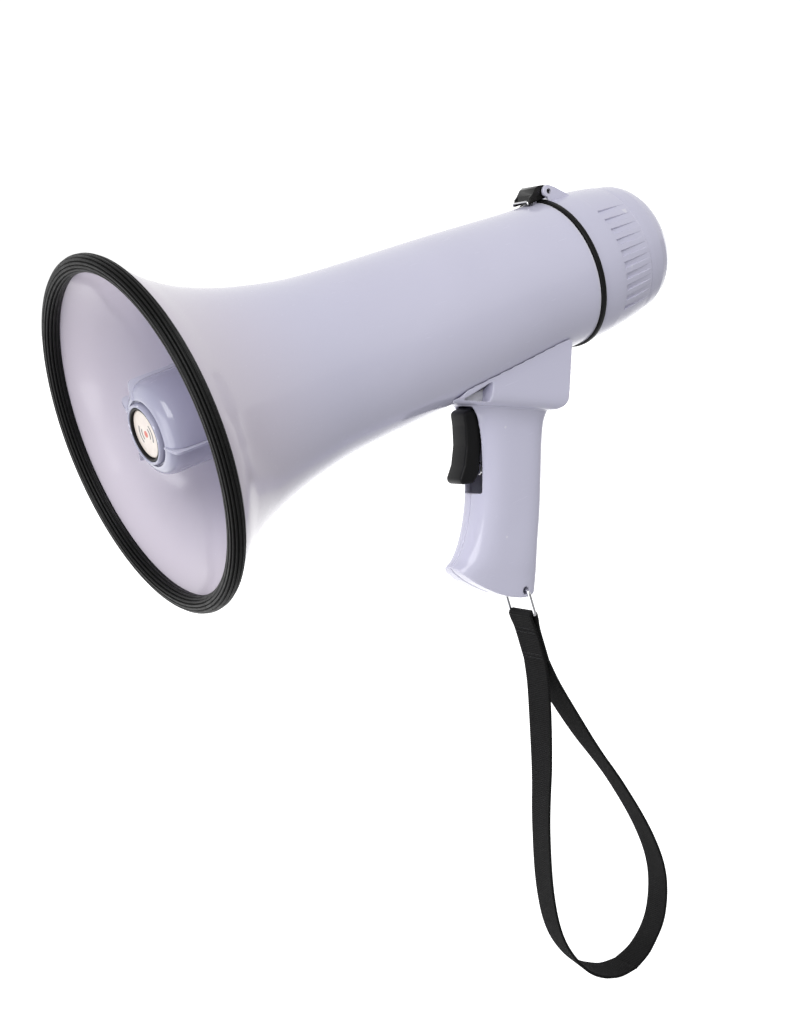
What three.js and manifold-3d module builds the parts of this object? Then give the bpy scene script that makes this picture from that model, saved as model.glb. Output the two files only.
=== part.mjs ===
// Hand-held megaphone: bell and barrel in one moulding, reflex hub, pistol grip, wrist strap.
// Millimetres, +X forward out of the bell, +Z up, origin at the middle of the hand grip.
import * as THREE from "three";
import { mergeVertices } from "three/addons/utils/BufferGeometryUtils.js";
import Module from "manifold-3d";

const wasm = await Module();
wasm.setup();

// ---- driving dimensions ----------------------------------------------------
const ROUND = 36;                 // facets round the horn
const MIDDLE = 20;                // facets round the hub and driver pieces
const FINE = 14;                  // facets round small turned pieces
const SLACK = 0.35;               // clearance between pieces that touch
const WALL = 2.4;                 // moulded wall

const RIM_RADIUS = 87.5;          // outside of the rubber rim
const RIM_DEEP = 4.0;             // half its length along the horn
const RIM_TALL = 4.4;             // half its height
const RIM_RIB = 0.5;              // depth of the grooves between its ribs
const FLARE = [                   // outside of bell and barrel: station, radius
  [-9.5, 79.0], [-20, 70.6], [-33.4, 62.4], [-47, 56.6], [-62, 52.0], [-78, 48.4],
  [-95.5, 45.5], [-114, 44.0], [-133.7, 43.1], [-181.5, 41.4], [-229.2, 38.95],
];
const LIP = [-1.6, 84.4];         // edge of the bell inside the rim
const BARREL_END = -248.3;
const BARREL_END_RADIUS = 38.7;
const LEDGE = [-98.8, -101.8];    // ring inside the barrel that carries the back plate
const LEDGE_RADIUS = 35.0;

const HUB_RADIUS = 22;
const LOBE_RADIUS = 25.5;
const LOBES = [[-22, 101], [128, 251]]; // angles round the axis, 0 = left side, 90 = top
const HUB_FRONT = -5.4;
const RING_RADIUS = 17.8;
const RING_BORE = 13.4;
const BADGE_RADIUS = 11.4;

const HOUSING_FRONT = -251.7;
const HOUSING_BACK = -286;
const HOUSING = [                 // outside of the rear housing
  [-251.7, 38.7], [-263, 38.6], [-268, 38.2], [-275, 37.5], [-281.7, 36.6], [-286, 35.9],
];
const CAP = [                     // outside of the end cap
  [-286.4, 35.1], [-290, 34.9], [-296, 33.9], [-300.5, 31.9], [-303.8, 29.2], [-305.6, 26.2],
];
const FLUTES = 10;                // finger flutes on each side of the rear housing
const FLUTE_STEP = 9.2;
const FLUTE_WIDE = 3.0;
const FLUTE_ROOT = 36.9;

const PIN_AT = [-253.5, 42.7];    // latch pivot: x, z
const LATCH_HALF = 7.2;

const CANT = 23;                  // grip leans this far from square to the barrel
const GRIP_REAR = -218.7;         // back of the grip, measured square to the grip
const GRIP_LONG = 71.4;
const BRACKET_HALF = 26;
const EYE_AT = [2.3, -68.05];      // strap hole in grip coordinates: forward, up
const GRIP_CENTRE = [17.5, -20];

const RING_HALF = 11;             // wire ring: half width, drop, wire radius
const RING_DROP = 14.2;
const WIRE = 0.9;
const STRAP_HALF = 9.7;
const STRAP_THICK = 1.6;

const CELL_RADIUS = 13.1;
const CELL_LONG = 49.5;
const CELL_OFFSET = 13.7;
const TRAY_FRONT = -135;

// ---- materials -------------------------------------------------------------
const look = {
  shell: { color: 0xc9c7d8, roughness: 0.32, metalness: 0 },
  hub: { color: 0xc3c2d4, roughness: 0.35, metalness: 0 },
  rubber: { color: 0x1b1b1d, roughness: 0.75, metalness: 0 },
  black: { color: 0x141416, roughness: 0.25, metalness: 0 },
  cream: { color: 0xece7e0, roughness: 0.35, metalness: 0 },
  steel: { color: 0xb9bbc0, roughness: 0.25, metalness: 1 },
  webbing: { color: 0x121214, roughness: 0.9, metalness: 0 },
  ferrite: { color: 0x3a3a3f, roughness: 0.6, metalness: 0 },
  brass: { color: 0xb99a55, roughness: 0.35, metalness: 1 },
  board: { color: 0x2f6b45, roughness: 0.5, metalness: 0 },
  film: { color: 0xd9c9a3, roughness: 0.5, metalness: 0 },
  foam: { color: 0x2a2a2c, roughness: 0.95, metalness: 0 },
  cell: { color: 0x5f6f86, roughness: 0.35, metalness: 0 },
};

// ---- helpers ---------------------------------------------------------------
const rad = THREE.MathUtils.degToRad;

function toSolid(geometry) {
  const plain = geometry.clone();
  plain.deleteAttribute("normal");
  plain.deleteAttribute("uv");
  const welded = mergeVertices(plain, 1e-4);
  const index = welded.index.array;
  const kept = [];
  for (let i = 0; i < index.length; i += 3) {
    const [a, b, c] = [index[i], index[i + 1], index[i + 2]];
    if (a !== b && b !== c && c !== a) kept.push(a, b, c);
  }
  return new wasm.Manifold(new wasm.Mesh({
    numProp: 3,
    vertProperties: new Float32Array(welded.attributes.position.array),
    triVerts: new Uint32Array(kept),
  }));
}

function toGeometry(body) {
  const mesh = body.getMesh();
  const geometry = new THREE.BufferGeometry();
  geometry.setAttribute("position",
    new THREE.BufferAttribute(new Float32Array(mesh.vertProperties), 3));
  geometry.setIndex(new THREE.BufferAttribute(new Uint32Array(mesh.triVerts), 1));
  geometry.computeVertexNormals();
  return geometry;
}

function join(first, ...rest) {
  return rest.reduce((body, next) => body.add(next), first);
}

function cut(body, ...cutters) {
  return cutters.reduce((left, cutter) => left.subtract(cutter), body);
}

// A closed loop of [x, radius] points turned about the horn's axis, or about one beside it.
function turned(loop, facets = ROUND, y = 0, z = 0) {
  let area = 0;
  loop.forEach(([x, r], i) => {
    const [nextX, nextR] = loop[(i + 1) % loop.length];
    area += r * nextX - nextR * x;
  });
  const ordered = area > 0 ? loop : [...loop].reverse();
  const points = [...ordered, ordered[0]].map(([x, r]) => new THREE.Vector2(r, x));
  const geometry = new THREE.LatheGeometry(points, facets);
  geometry.rotateZ(-Math.PI / 2);
  geometry.translate(0, y, z);
  return toSolid(geometry);
}

function disc(x0, x1, radius, facets = FINE, y = 0, z = 0) {
  return turned([[x0, 0], [x1, 0], [x1, radius], [x0, radius]], facets, y, z);
}

function tube(x0, x1, bore, radius, facets = ROUND, y = 0, z = 0) {
  return turned([[x0, bore], [x1, bore], [x1, radius], [x0, radius]], facets, y, z);
}

function block(x0, x1, y0, y1, z0, z1) {
  const geometry = new THREE.BoxGeometry(x1 - x0, y1 - y0, z1 - z0);
  geometry.translate((x0 + x1) / 2, (y0 + y1) / 2, (z0 + z1) / 2);
  return toSolid(geometry);
}

// A side profile of [x, z] points given a width from y0 to y1.
function plate(profile, y0, y1) {
  const shape = new THREE.Shape(profile.map(([x, z]) => new THREE.Vector2(x, z)));
  const geometry = new THREE.ExtrudeGeometry(shape, { depth: y1 - y0, bevelEnabled: false });
  geometry.rotateX(Math.PI / 2);
  geometry.translate(0, y1, 0);
  return toSolid(geometry);
}

// A round bar between two points.
function bar(from, to, radius, facets = 12) {
  const start = new THREE.Vector3(...from);
  const along = new THREE.Vector3(...to).sub(start);
  const geometry = new THREE.CylinderGeometry(radius, radius, along.length(), facets);
  geometry.translate(0, along.length() / 2, 0);
  const turn = new THREE.Quaternion().setFromUnitVectors(
    new THREE.Vector3(0, 1, 0), along.clone().normalize());
  geometry.applyQuaternion(turn);
  geometry.translate(start.x, start.y, start.z);
  return toSolid(geometry);
}

// A skin through rings of points, closed by flat ends, or joined end to end.
function skin(rings, endless = false) {
  const count = rings[0].length;
  const position = rings.flat(2);
  const index = [];
  const spans = endless ? rings.length : rings.length - 1;
  for (let i = 0; i < spans; i += 1) {
    const here = i * count;
    const next = ((i + 1) % rings.length) * count;
    for (let j = 0; j < count; j += 1) {
      const k = (j + 1) % count;
      index.push(here + j, here + k, next + k, here + j, next + k, next + j);
    }
  }
  if (!endless) {
    const last = (rings.length - 1) * count;
    for (let j = 1; j < count - 1; j += 1) {
      index.push(0, j + 1, j);
      index.push(last, last + j, last + j + 1);
    }
  }
  const geometry = new THREE.BufferGeometry();
  geometry.setAttribute("position", new THREE.Float32BufferAttribute(position, 3));
  geometry.setIndex(index);
  const body = toSolid(geometry);
  if (body.volume() > 0) return body;
  for (let i = 0; i < index.length; i += 3) [index[i], index[i + 1]] = [index[i + 1], index[i]];
  geometry.setIndex(index);
  return toSolid(geometry);
}

// A smooth run of points through sparse stations.
function smooth(stations, count) {
  const curve = new THREE.SplineCurve(stations.map(([a, b]) => new THREE.Vector2(a, b)));
  return curve.getPoints(count).map((p) => [p.x, p.y]);
}

// Moves a run of [x, radius] points inwards, square to the run.
function offset(run, distance) {
  return run.map(([x, r], i) => {
    const [ax, ar] = run[Math.max(i - 1, 0)];
    const [bx, br] = run[Math.min(i + 1, run.length - 1)];
    const length = Math.hypot(bx - ax, br - ar);
    return [x - (distance * (br - ar)) / length, r - (distance * Math.abs(bx - ax)) / length];
  });
}

const part = new THREE.Group();
part.name = "megaphone";

function node(name, body, finish) {
  const mesh = new THREE.Mesh(toGeometry(body), new THREE.MeshStandardMaterial(look[finish]));
  mesh.name = name;
  horn.add(mesh);
  return mesh;
}

// Screw along +X or turned to another direction: head at the origin, shank forward.
function screw(name, at, direction, shank, radius = 1.5, head = 2.8) {
  const body = turned([[-1.6, 0], [shank, 0], [shank, radius], [0, radius], [0, head],
    [-1.0, head], [-1.6, head * 0.7]], 10);
  const slot = block(-2, -1.1, -0.4, 0.4, -head, head);
  const geometry = toGeometry(cut(body, slot));
  const turn = new THREE.Quaternion().setFromUnitVectors(
    new THREE.Vector3(1, 0, 0), new THREE.Vector3(...direction).normalize());
  geometry.applyQuaternion(turn);
  const mesh = new THREE.Mesh(geometry, new THREE.MeshStandardMaterial(look.steel));
  mesh.name = name;
  mesh.position.set(...at);
  horn.add(mesh);
}

// ---- frames: horn axis through the rim's centre, and the canted grip --------
const cant = rad(CANT);
const gripOrigin = [GRIP_REAR * Math.cos(cant), 0, GRIP_REAR * Math.sin(cant)];

function fromGrip([forward, up], y = 0) {
  return [
    gripOrigin[0] + forward * Math.cos(cant) - up * Math.sin(cant),
    y,
    gripOrigin[2] + forward * Math.sin(cant) + up * Math.cos(cant),
  ];
}

function inGrip(body) {
  const geometry = toGeometry(body);
  geometry.rotateY(-cant);
  geometry.translate(...gripOrigin);
  return toSolid(geometry);
}

const centre = fromGrip(GRIP_CENTRE);
const horn = new THREE.Group();
horn.name = "horn_frame";
horn.position.set(-centre[0], 0, -centre[2]);
part.add(horn);

// ---- bell and barrel ---------------------------------------------------------
const outside = smooth([...FLARE, [BARREL_END, BARREL_END_RADIUS]], 13);
const inside = offset(outside, WALL);
const lipInside = [LIP[0] + WALL * 0.565, LIP[1] - WALL * 0.825];
const boreAt = (x) => {
  const i = inside.findIndex(([station]) => station < x);
  const [ax, ar] = inside[i - 1];
  const [bx, br] = inside[i];
  return ar + ((br - ar) * (x - ax)) / (bx - ax);
};

const bodyLoop = [
  LIP, ...outside, [BARREL_END, BARREL_END_RADIUS - WALL],
  ...inside.filter(([x]) => x > BARREL_END && x < LEDGE[1] - 3).reverse(),
  [LEDGE[1] - 1, boreAt(LEDGE[1])], [LEDGE[1], LEDGE_RADIUS], [LEDGE[0], LEDGE_RADIUS],
  [LEDGE[0], boreAt(LEDGE[0])],
  ...inside.filter(([x]) => x > LEDGE[0] + 1).reverse(), lipInside,
];
const hubScrews = LOBES.map(([from, to]) => (from + to) / 2);
const ledgeScrews = [90, 210, 330];
const saddleScrews = [["left", 12], ["right", -12]];
const SADDLE_X = -205;

let body = turned(bodyLoop);
body = join(body, block(-248, -245.9, -5, 5, 37.4, 39.9));
body = cut(body, bar([-196, 0, -30], [-196, 0, -50], 4));
saddleScrews.forEach(([, y]) => {
  body = cut(body, bar([SADDLE_X, y, -30], [SADDLE_X, y, -50], 1.9));
});
ledgeScrews.forEach((angle) => {
  const y = 38.6 * Math.cos(rad(angle));
  const z = 38.6 * Math.sin(rad(angle));
  body = cut(body, disc(LEDGE[1] - 1, LEDGE[0] + 1, 1.9, 10, y, z));
});
node("horn_body", body, "shell");

// ---- rubber rim ---------------------------------------------------------------
const rimMiddle = RIM_RADIUS - RIM_TALL;
const rimRun = [];
for (let i = 0; i <= 18; i += 1) {
  const angle = rad(176 - i * 17.6);
  const rib = i % 2 ? 0 : RIM_RIB;
  const r = rimMiddle + (RIM_TALL - rib) * Math.sin(angle);
  const x = Math.min((RIM_DEEP + 0.2 - rib) * Math.cos(angle), RIM_DEEP);
  rimRun.push([x, r]);
}
const front = rimRun.filter(([x]) => x < RIM_DEEP - 0.55);
const upper = front.filter(([, r]) => r > rimMiddle);
const lower = front.filter(([x, r]) => r < rimMiddle && x > -2.6);
node("rim_bumper", turned([
  ...upper, [RIM_DEEP, rimMiddle + 1.5], [RIM_DEEP, rimMiddle - 1.5], ...lower,
  [-3.3, 79.85], [0.25, 82.3], [-1.5, 84.9], [-4.1, 83.15],
]), "rubber");

// ---- back plate, throat and hub -------------------------------------------------
let backPlate = tube(-98.5, -96.2, 9.2, boreAt(-98.5) - SLACK - 0.4);
hubScrews.forEach((angle) => {
  backPlate = cut(backPlate, disc(-99, -96, 1.9, 10,
    22.6 * Math.cos(rad(angle)), 22.6 * Math.sin(rad(angle))));
});
ledgeScrews.forEach((angle) => {
  backPlate = cut(backPlate, disc(-99, -96, 1.9, 10,
    38.6 * Math.cos(rad(angle)), 38.6 * Math.sin(rad(angle))));
});
node("bell_back_plate", backPlate, "shell");

node("throat_tube", turned([
  [-95.8, 8], [-22, 11], [-22, 13], [-90, 10.4], [-93.6, 11.4], [-93.6, 17.5], [-95.8, 17.5],
], MIDDLE), "shell");

function sector(from, to, radius, x0, x1) {
  const steps = 10;
  const wedge = [[0, 0]];
  for (let i = 0; i <= steps; i += 1) {
    const angle = rad(from + ((to - from) * i) / steps);
    wedge.push([radius * Math.cos(angle), radius * Math.sin(angle)]);
  }
  const rings = [x0, x1].map((x) => wedge.map(([y, z]) => [x, y, z]));
  return skin(rings);
}

let hub = turned([
  [-58, HUB_RADIUS], [-12, HUB_RADIUS], [-9, 21.4], [-6.9, 20.1], [HUB_FRONT, 18.2],
  [-8.5, 18.2], [-8.5, 0], [-11, 0], [-11, 10], [-13.5, 18.6], [-58, 19.4],
], MIDDLE);
LOBES.forEach(([from, to]) => {
  const sleeve = turned([
    [-95.8, LOBE_RADIUS], [-10.5, LOBE_RADIUS], [-7.6, 24.6], [-6.1, 22.8], [-6.6, 20.6],
    [-12, 20.6], [-62, 20.6], [-70, 19.6], [-95.8, 19.6],
  ], MIDDLE);
  hub = join(hub, sleeve.intersect(sector(from, to, 40, -97, 0)));
});
hubScrews.forEach((angle) => {
  hub = cut(hub, disc(-97, -84, 1.85, 10,
    22.6 * Math.cos(rad(angle)), 22.6 * Math.sin(rad(angle))));
});
node("hub_reflector", hub, "hub");
node("hub_ring", turned([
  [-8.15, RING_RADIUS], [-5.2, RING_RADIUS], [-3.8, 17.1], [-3.2, 15.8], [-3.3, 14.4],
  [-4.0, RING_BORE], [-8.15, RING_BORE],
], MIDDLE), "hub");
node("hub_badge_seat", tube(-8.1, -6.2, BADGE_RADIUS + SLACK, RING_BORE - SLACK, MIDDLE), "black");
node("hub_badge", turned([
  [-8.1, 0], [-4.2, 0], [-4.4, 9.8], [-5.1, BADGE_RADIUS], [-8.1, BADGE_RADIUS],
], MIDDLE), "cream");
hubScrews.forEach((angle, i) => {
  const at = [-98.9, 22.6 * Math.cos(rad(angle)), 22.6 * Math.sin(rad(angle))];
  screw(`hub_screw_${i + 1}`, at, [1, 0, 0], 12);
});
ledgeScrews.forEach((angle, i) => {
  const at = [-95.8, 38.6 * Math.cos(rad(angle)), 38.6 * Math.sin(rad(angle))];
  screw(`plate_screw_${i + 1}`, at, [-1, 0, 0], 8);
});

// ---- driver ------------------------------------------------------------------------
let flange = turned([
  [-101.2, 5.0], [-98.9, 9.0], [-98.9, 19.2], [-101.0, 19.2], [-101.0, 33.6], [-103.2, 33.6],
  [-103.2, 28.4], [-102.3, 26.6],
], MIDDLE);
node("driver_flange", flange, "ferrite");
node("diaphragm", turned([
  [-103.0, 0], [-102.5, 0], [-103.1, 8], [-104.3, 12.4], [-103.5, 18], [-103.6, 28.0],
  [-104.0, 28.0], [-104.0, 18], [-105.0, 12.9], [-104.9, 11.9], [-103.6, 7.8],
], MIDDLE), "film");
node("voice_coil", tube(-112, -105.4, 12.0, 12.8, MIDDLE), "brass");
node("driver_top_plate", tube(-108.8, -105.4, 13.2, 28, MIDDLE), "steel");
node("driver_magnet", tube(-121, -109.2, 15.5, 31, MIDDLE), "ferrite");
node("driver_yoke", turned([
  [-127, 0], [-105.6, 0], [-106.2, 6], [-106.2, 11.5], [-121.4, 11.5], [-121.4, 28], [-127, 26],
], MIDDLE), "steel");

// ---- battery tray and cells ----------------------------------------------------------
const layers = [TRAY_FRONT - 3.2, TRAY_FRONT - 3.2 - CELL_LONG - 3.6];
const TRAY_BACK = layers[1] - CELL_LONG - 3.2;
let tray = join(
  disc(TRAY_FRONT - 2.2, TRAY_FRONT, 33.4, MIDDLE),
  disc(layers[1] + 0.6, layers[0] - CELL_LONG - 0.6, 33.0, MIDDLE),
  disc(TRAY_BACK, TRAY_BACK + 2.2, 33.0, MIDDLE),
  disc(TRAY_BACK + 1, TRAY_FRONT - 1, 4.6, 12),
);
tray = cut(tray, block(layers[1] - 1, layers[0] - CELL_LONG + 1, -18, -9, -3, 3),
  block(layers[1] - 1, layers[0] - CELL_LONG + 1, 9, 18, -3, 3));
node("battery_tray", tray, "black");
const quarters = [[1, 1], [-1, 1], [-1, -1], [1, -1]];
layers.forEach((x, layer) => {
  quarters.forEach(([sy, sz], i) => {
    const positive = (i + layer) % 2 ? 1 : -1;
    const [a, b] = [x - CELL_LONG, x];
    const cap = positive > 0
      ? [[a, 0], [b, 0], [b, 4.5], [b - 1.5, 4.5], [b - 1.5, CELL_RADIUS], [a, CELL_RADIUS]]
      : [[a, 0], [b, 0], [b, CELL_RADIUS], [a + 1.5, CELL_RADIUS], [a + 1.5, 4.5], [a, 4.5]];
    const cell = turned(cap, 12, sy * CELL_OFFSET, sz * CELL_OFFSET);
    node(`cell_${layer * 4 + i + 1}`, cell, "cell");
  });
});
[["front_upper", 1], ["front_lower", -1]].forEach(([name, sz]) => {
  node(`contact_${name}`, block(TRAY_FRONT - 2.9, TRAY_FRONT - 2.5,
    -19, 19, sz * CELL_OFFSET - 4, sz * CELL_OFFSET + 4), "brass");
});
node("contact_rear_link", block(TRAY_BACK + 2.5, TRAY_BACK + 2.9,
  -19, 19, CELL_OFFSET - 4, CELL_OFFSET + 4), "brass");
[["plus", 1], ["minus", -1]].forEach(([name, sy]) => {
  node(`terminal_${name}`, block(TRAY_BACK + 2.5, TRAY_BACK + 2.9,
    sy * CELL_OFFSET - 5, sy * CELL_OFFSET + 5, -CELL_OFFSET - 4, -CELL_OFFSET + 4), "brass");
});

// ---- rear unit -------------------------------------------------------------------------
node("barrel_gasket", turned([
  [-251.35, 36.15], [-248.65, 36.15], [-248.65, 39.5], [-249.2, 39.95], [-250.8, 39.95],
  [-251.35, 39.5],
]), "rubber");

let housing = turned([
  ...HOUSING, [HOUSING_BACK, 33.6], [-281.7, 34.2], [-263, 36.1], [-255.5, 36.1],
  [-254, 33.5], [-239, 33.5], [-239, 35.7], [HOUSING_FRONT, 35.7],
]);
const ear = [[-251.9, 36.4], [-251.9, 39.8], [-250.2, 41.6]];
for (let angle = -10; angle <= 100; angle += 22) {
  ear.push([PIN_AT[0] + 3.4 * Math.cos(rad(angle)), PIN_AT[1] + 3.4 * Math.sin(rad(angle))]);
}
ear.push([-257.5, 43.9], [-266, 37.0], [-266, 36.4]);
[[7.9, 9.9], [-9.9, -7.9]].forEach(([y0, y1]) => {
  housing = join(housing, plate(ear, y0, y1));
});
housing = cut(housing, bar([PIN_AT[0], -8.6 - 0.6, PIN_AT[1]], [PIN_AT[0], 9.2, PIN_AT[1]], 1.4));
for (let i = 0; i < FLUTES; i += 1) {
  const angle = 41.4 - i * FLUTE_STEP;
  [angle, 180 - angle].forEach((around) => {
    const geometry = new THREE.BoxGeometry(15.5, 5, FLUTE_WIDE);
    geometry.translate(-266.5 - 7.75, FLUTE_ROOT + 2.5, 0);
    geometry.rotateX(rad(around));
    housing = cut(housing, toSolid(geometry));
  });
}
node("rear_housing", housing, "shell");

const MIC_AT = [0, 9];
const KNOB_AT = [-12, -13];
const SIREN_AT = [12, -13];
let cap = turned([...CAP, [-305.6, 0], [-303.3, 0], [-303.3, 24.6], [-301.6, 28],
  [-295, 31.7], [-286.4, 32.8]]);
for (let i = -2; i <= 2; i += 1) {
  const half = Math.sqrt(9.5 * 9.5 - (i * 3.6) ** 2);
  cap = cut(cap, block(-307, -302, MIC_AT[0] - half, MIC_AT[0] + half,
    MIC_AT[1] + i * 3.6 - 0.8, MIC_AT[1] + i * 3.6 + 0.8));
}
cap = cut(cap, disc(-307, -302, 2.0, 12, ...KNOB_AT), disc(-307, -302, 5.4, FINE, ...SIREN_AT));
node("rear_cap", cap, "shell");
node("microphone_foam", disc(-302.9, -300.4, 10.2, FINE, ...MIC_AT), "foam");
node("microphone_capsule", disc(-300, -292.5, 4.9, FINE, ...MIC_AT), "steel");
node("volume_knob", join(
  turned([[-313.5, 0], [-306, 0], [-306, 6.4], [-312.6, 6.0], [-313.5, 5.2]], FINE, ...KNOB_AT),
  disc(-306.5, -297.4, 1.5, 12, ...KNOB_AT),
  block(-314, -309, KNOB_AT[0] - 0.6, KNOB_AT[0] + 0.6, KNOB_AT[1] + 2, KNOB_AT[1] + 6.2),
), "black");
node("volume_control", cut(disc(-302.8, -294, 8, FINE, ...KNOB_AT),
  disc(-303, -295.5, 2.0, 12, ...KNOB_AT)), "steel");
node("siren_button", turned([
  [-309.2, 0], [-300, 0], [-300, 6.6], [-302.6, 6.6], [-302.6, 5.0], [-308.6, 5.0],
  [-309.2, 4.4],
], FINE, ...SIREN_AT), "black");
node("siren_switch", disc(-296.6, -291.8, 5.6, FINE, ...SIREN_AT), "steel");
node("amplifier_board", block(-278.4, -276.8, -22, 22, -19, 19), "board");
node("amplifier_heat_sink", block(-276.4, -262, -12, 12, 5, 8), "steel");

const lever = [
  [-256.7, 42.4], [-256.2, 44.6], [-254.6, 45.9], [-252.6, 46.5], [-250.0, 46.9], [-247.9, 46.3],
  [-244.9, 43.6], [-242.4, 40.9], [-241.0, 39.9], [-241.0, 39.3], [-244.2, 39.3],
  [-244.2, 41.7], [-248.4, 41.7], [-248.4, 40.5], [-252, 40.5], [-254.6, 39.8], [-256.2, 40.8],
];
node("latch_lever", cut(plate(lever, -LATCH_HALF, LATCH_HALF),
  bar([PIN_AT[0], -9, PIN_AT[1]], [PIN_AT[0], 9, PIN_AT[1]], 1.4)), "black");
node("latch_pin", bar([PIN_AT[0], -8.9, PIN_AT[1]], [PIN_AT[0], 8.9, PIN_AT[1]], 1.05), "steel");

// ---- handle -------------------------------------------------------------------------------
// Grip sections: height, back, front, half width.
const SECTIONS = [
  [34, -5, 46, 23.5], [29, -4.8, 44.5, 21], [24.5, -4.4, 42, 17.5], [19, -4, 39.2, 14.8],
  [8, -4.1, 36.6, 13.7], [-8, -4.6, 34.8, 13.6], [-26, -5.2, 34.2, 13.4], [-42, -5.2, 36.4, 13],
  [-53, -5.7, 40.5, 12.4], [-61, -6.3, 46.5, 11.2], [-74, -6.4, 47, 9.6],
];

function gripSolid(inset, from, to) {
  const rings = SECTIONS.filter(([up]) => up <= from && up >= to).map(([up, back, ahead, half]) => {
    const middle = (back + ahead) / 2;
    const reach = (ahead - back) / 2 - inset;
    const ring = [];
    for (let i = 0; i < 20; i += 1) {
      const angle = (i / 20) * 2 * Math.PI;
      const c = Math.cos(angle);
      const s = Math.sin(angle);
      const round = c < 0 ? 0.56 : 0.72;     // squarer at the back than at the front
      ring.push([
        middle + reach * Math.sign(c) * Math.abs(c) ** round,
        (half - inset) * Math.sign(s) * Math.abs(s) ** round,
        up,
      ]);
    }
    return ring;
  });
  return skin(rings);
}

const bracketSide = [
  [-6.5, 34], [-6.5, 31.4], [-5.2, 28.2], [-2.2, 26], [2, 25.5], [64.8, 25.5], [58.8, 28.4],
  [54, 35], [50, 62], [-6.5, 62],
];
const bracketEnd = [
  [-BRACKET_HALF, 62], [-BRACKET_HALF, 33.5], [-25.2, 30.4], [-22.6, 27.4], [-18.4, 25.5],
  [18.4, 25.5], [22.6, 27.4], [25.2, 30.4], [BRACKET_HALF, 33.5], [BRACKET_HALF, 62],
];
const bracketRings = [-20, 80].map((x) => bracketEnd.map(([y, z]) => [x, y, z]));
const bracket = plate(bracketSide, -40, 40).intersect(skin(bracketRings));
const bracketHollow = block(-4.1, 38.2, -BRACKET_HALF + WALL, BRACKET_HALF - WALL, 31.5, 70);

const gripSide = [
  [-8, 36], [-8, -64], [-6.2, -67.4], [-4, -69.8], [-0.4, -71.4], [5, -71.9], [12.5, -GRIP_LONG],
  [20, -69.9], [28, -67.2], [35, -64.2], [41, -60.6], [45.2, -57], [46.4, -54.6],
  [44, -52], [60, -40], [60, 36],
];
const grip = gripSolid(0, 40, -80).intersect(plate(gripSide, -30, 30));
const gripHollow = gripSolid(WALL, 29, -53);

const barrelCut = turned([
  [-100, 0], ...outside.filter(([x]) => x < -96).map(([x, r]) => [x, r + SLACK]),
  [BARREL_END - 20, BARREL_END_RADIUS + SLACK], [BARREL_END - 20, 0],
]);
const aboveBarrel = block(-300, 0, -60, 60, -28, 60);
const recess = plate([[57.4, 27.3], [41.2, 37.6], [41.2, 27.3]], -40, 40);
const triggerGate = block(27, 60, -7.6, 7.6, -19, 25);
const PIVOT = [27, 20.5];
const bosses = [                  // screw bosses: forward, up, half length, depth of the head
  [9, -46, 12.5, 10.7], [8.5, 8, 12.5, 10.7], [0, 37, 24.5, 23],
];

let handle = join(bracket, grip);
handle = cut(handle, bracketHollow, gripHollow, recess, triggerGate);
handle = join(handle, ...bosses.map(([a, up, half]) => bar([a, -half, up], [a, half, up], 4.5)));
handle = join(handle, block(16.5, 19.5, 0, 12, -11, -1));
handle = cut(handle,
  ...bosses.map(([a, up]) => bar([a, -40, up], [a, 10.5, up], 1.85)),
  ...bosses.map(([a, up, , head]) => bar([a, -40, up], [a, -head, up], 3.3)),
  bar([PIVOT[0], -12.4, PIVOT[1]], [PIVOT[0], 12.4, PIVOT[1]], 1.8),
  bar([EYE_AT[0], -20, EYE_AT[1]], [EYE_AT[0], 20, EYE_AT[1]], 2.0));
handle = inGrip(handle);
const saddlePosts = saddleScrews.map(([, y]) => bar([SADDLE_X, y, -56], [SADDLE_X, y, -30], 4.2));
handle = join(handle, ...saddlePosts);
handle = cut(handle, ...saddleScrews.map(([, y]) =>
  bar([SADDLE_X, y, -53], [SADDLE_X, y, -30], 1.85)));
handle = cut(handle, barrelCut, aboveBarrel);
const halves = {
  handle_left: block(-300, -100, 0.15, 60, -200, 0),
  handle_right: block(-300, -100, -60, -0.15, -200, 0),
};
Object.entries(halves).forEach(([name, side]) => {
  node(name, handle.intersect(side), "shell");
});

saddleScrews.forEach(([name, y]) => {
  screw(`saddle_screw_${name}`, [SADDLE_X, y, -34.4], [0, 0, -1], 16);
});

const trigger = [
  [23.4, 23.8], [40.6, 24], [45.2, 21.8], [43.6, 15], [42.4, 5], [43.0, -5], [45.4, -12.6],
  [43.2, -15], [36.2, -13.6], [33.6, -8], [33.2, 8], [31, 14.5], [27.5, 16], [24, 17.2],
];
node("trigger", inGrip(cut(plate(trigger, -6.8, 6.8),
  bar([PIVOT[0], -9, PIVOT[1]], [PIVOT[0], 9, PIVOT[1]], 1.8))), "black");
node("trigger_pin", inGrip(bar([PIVOT[0], -11.9, PIVOT[1]], [PIVOT[0], 11.9, PIVOT[1]], 1.4)),
  "steel");

function coil(from, to, radius, wire, turns) {
  const rings = [];
  const steps = turns * 8;
  for (let i = 0; i <= steps; i += 1) {
    const t = i / steps;
    const angle = t * turns * 2 * Math.PI;
    const out = [0, Math.cos(angle), Math.sin(angle)];
    const ring = [];
    for (let j = 0; j < 4; j += 1) {
      const around = (j / 4) * 2 * Math.PI;
      const r = radius + wire * Math.cos(around);
      ring.push([from + (to - from) * t + wire * Math.sin(around), out[1] * r, out[2] * r]);
    }
    rings.push(ring);
  }
  return skin(rings);
}
const spring = toGeometry(coil(20.6, 32.2, 3.2, 0.4, 5));
spring.translate(0, 0, -6);
node("trigger_spring", inGrip(toSolid(spring)), "steel");
node("trigger_switch", inGrip(join(block(14.5, 26, -3.2, 3.2, 2, 13), block(25, 29.5, -1, 1, 7, 9))),
  "black");

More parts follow.
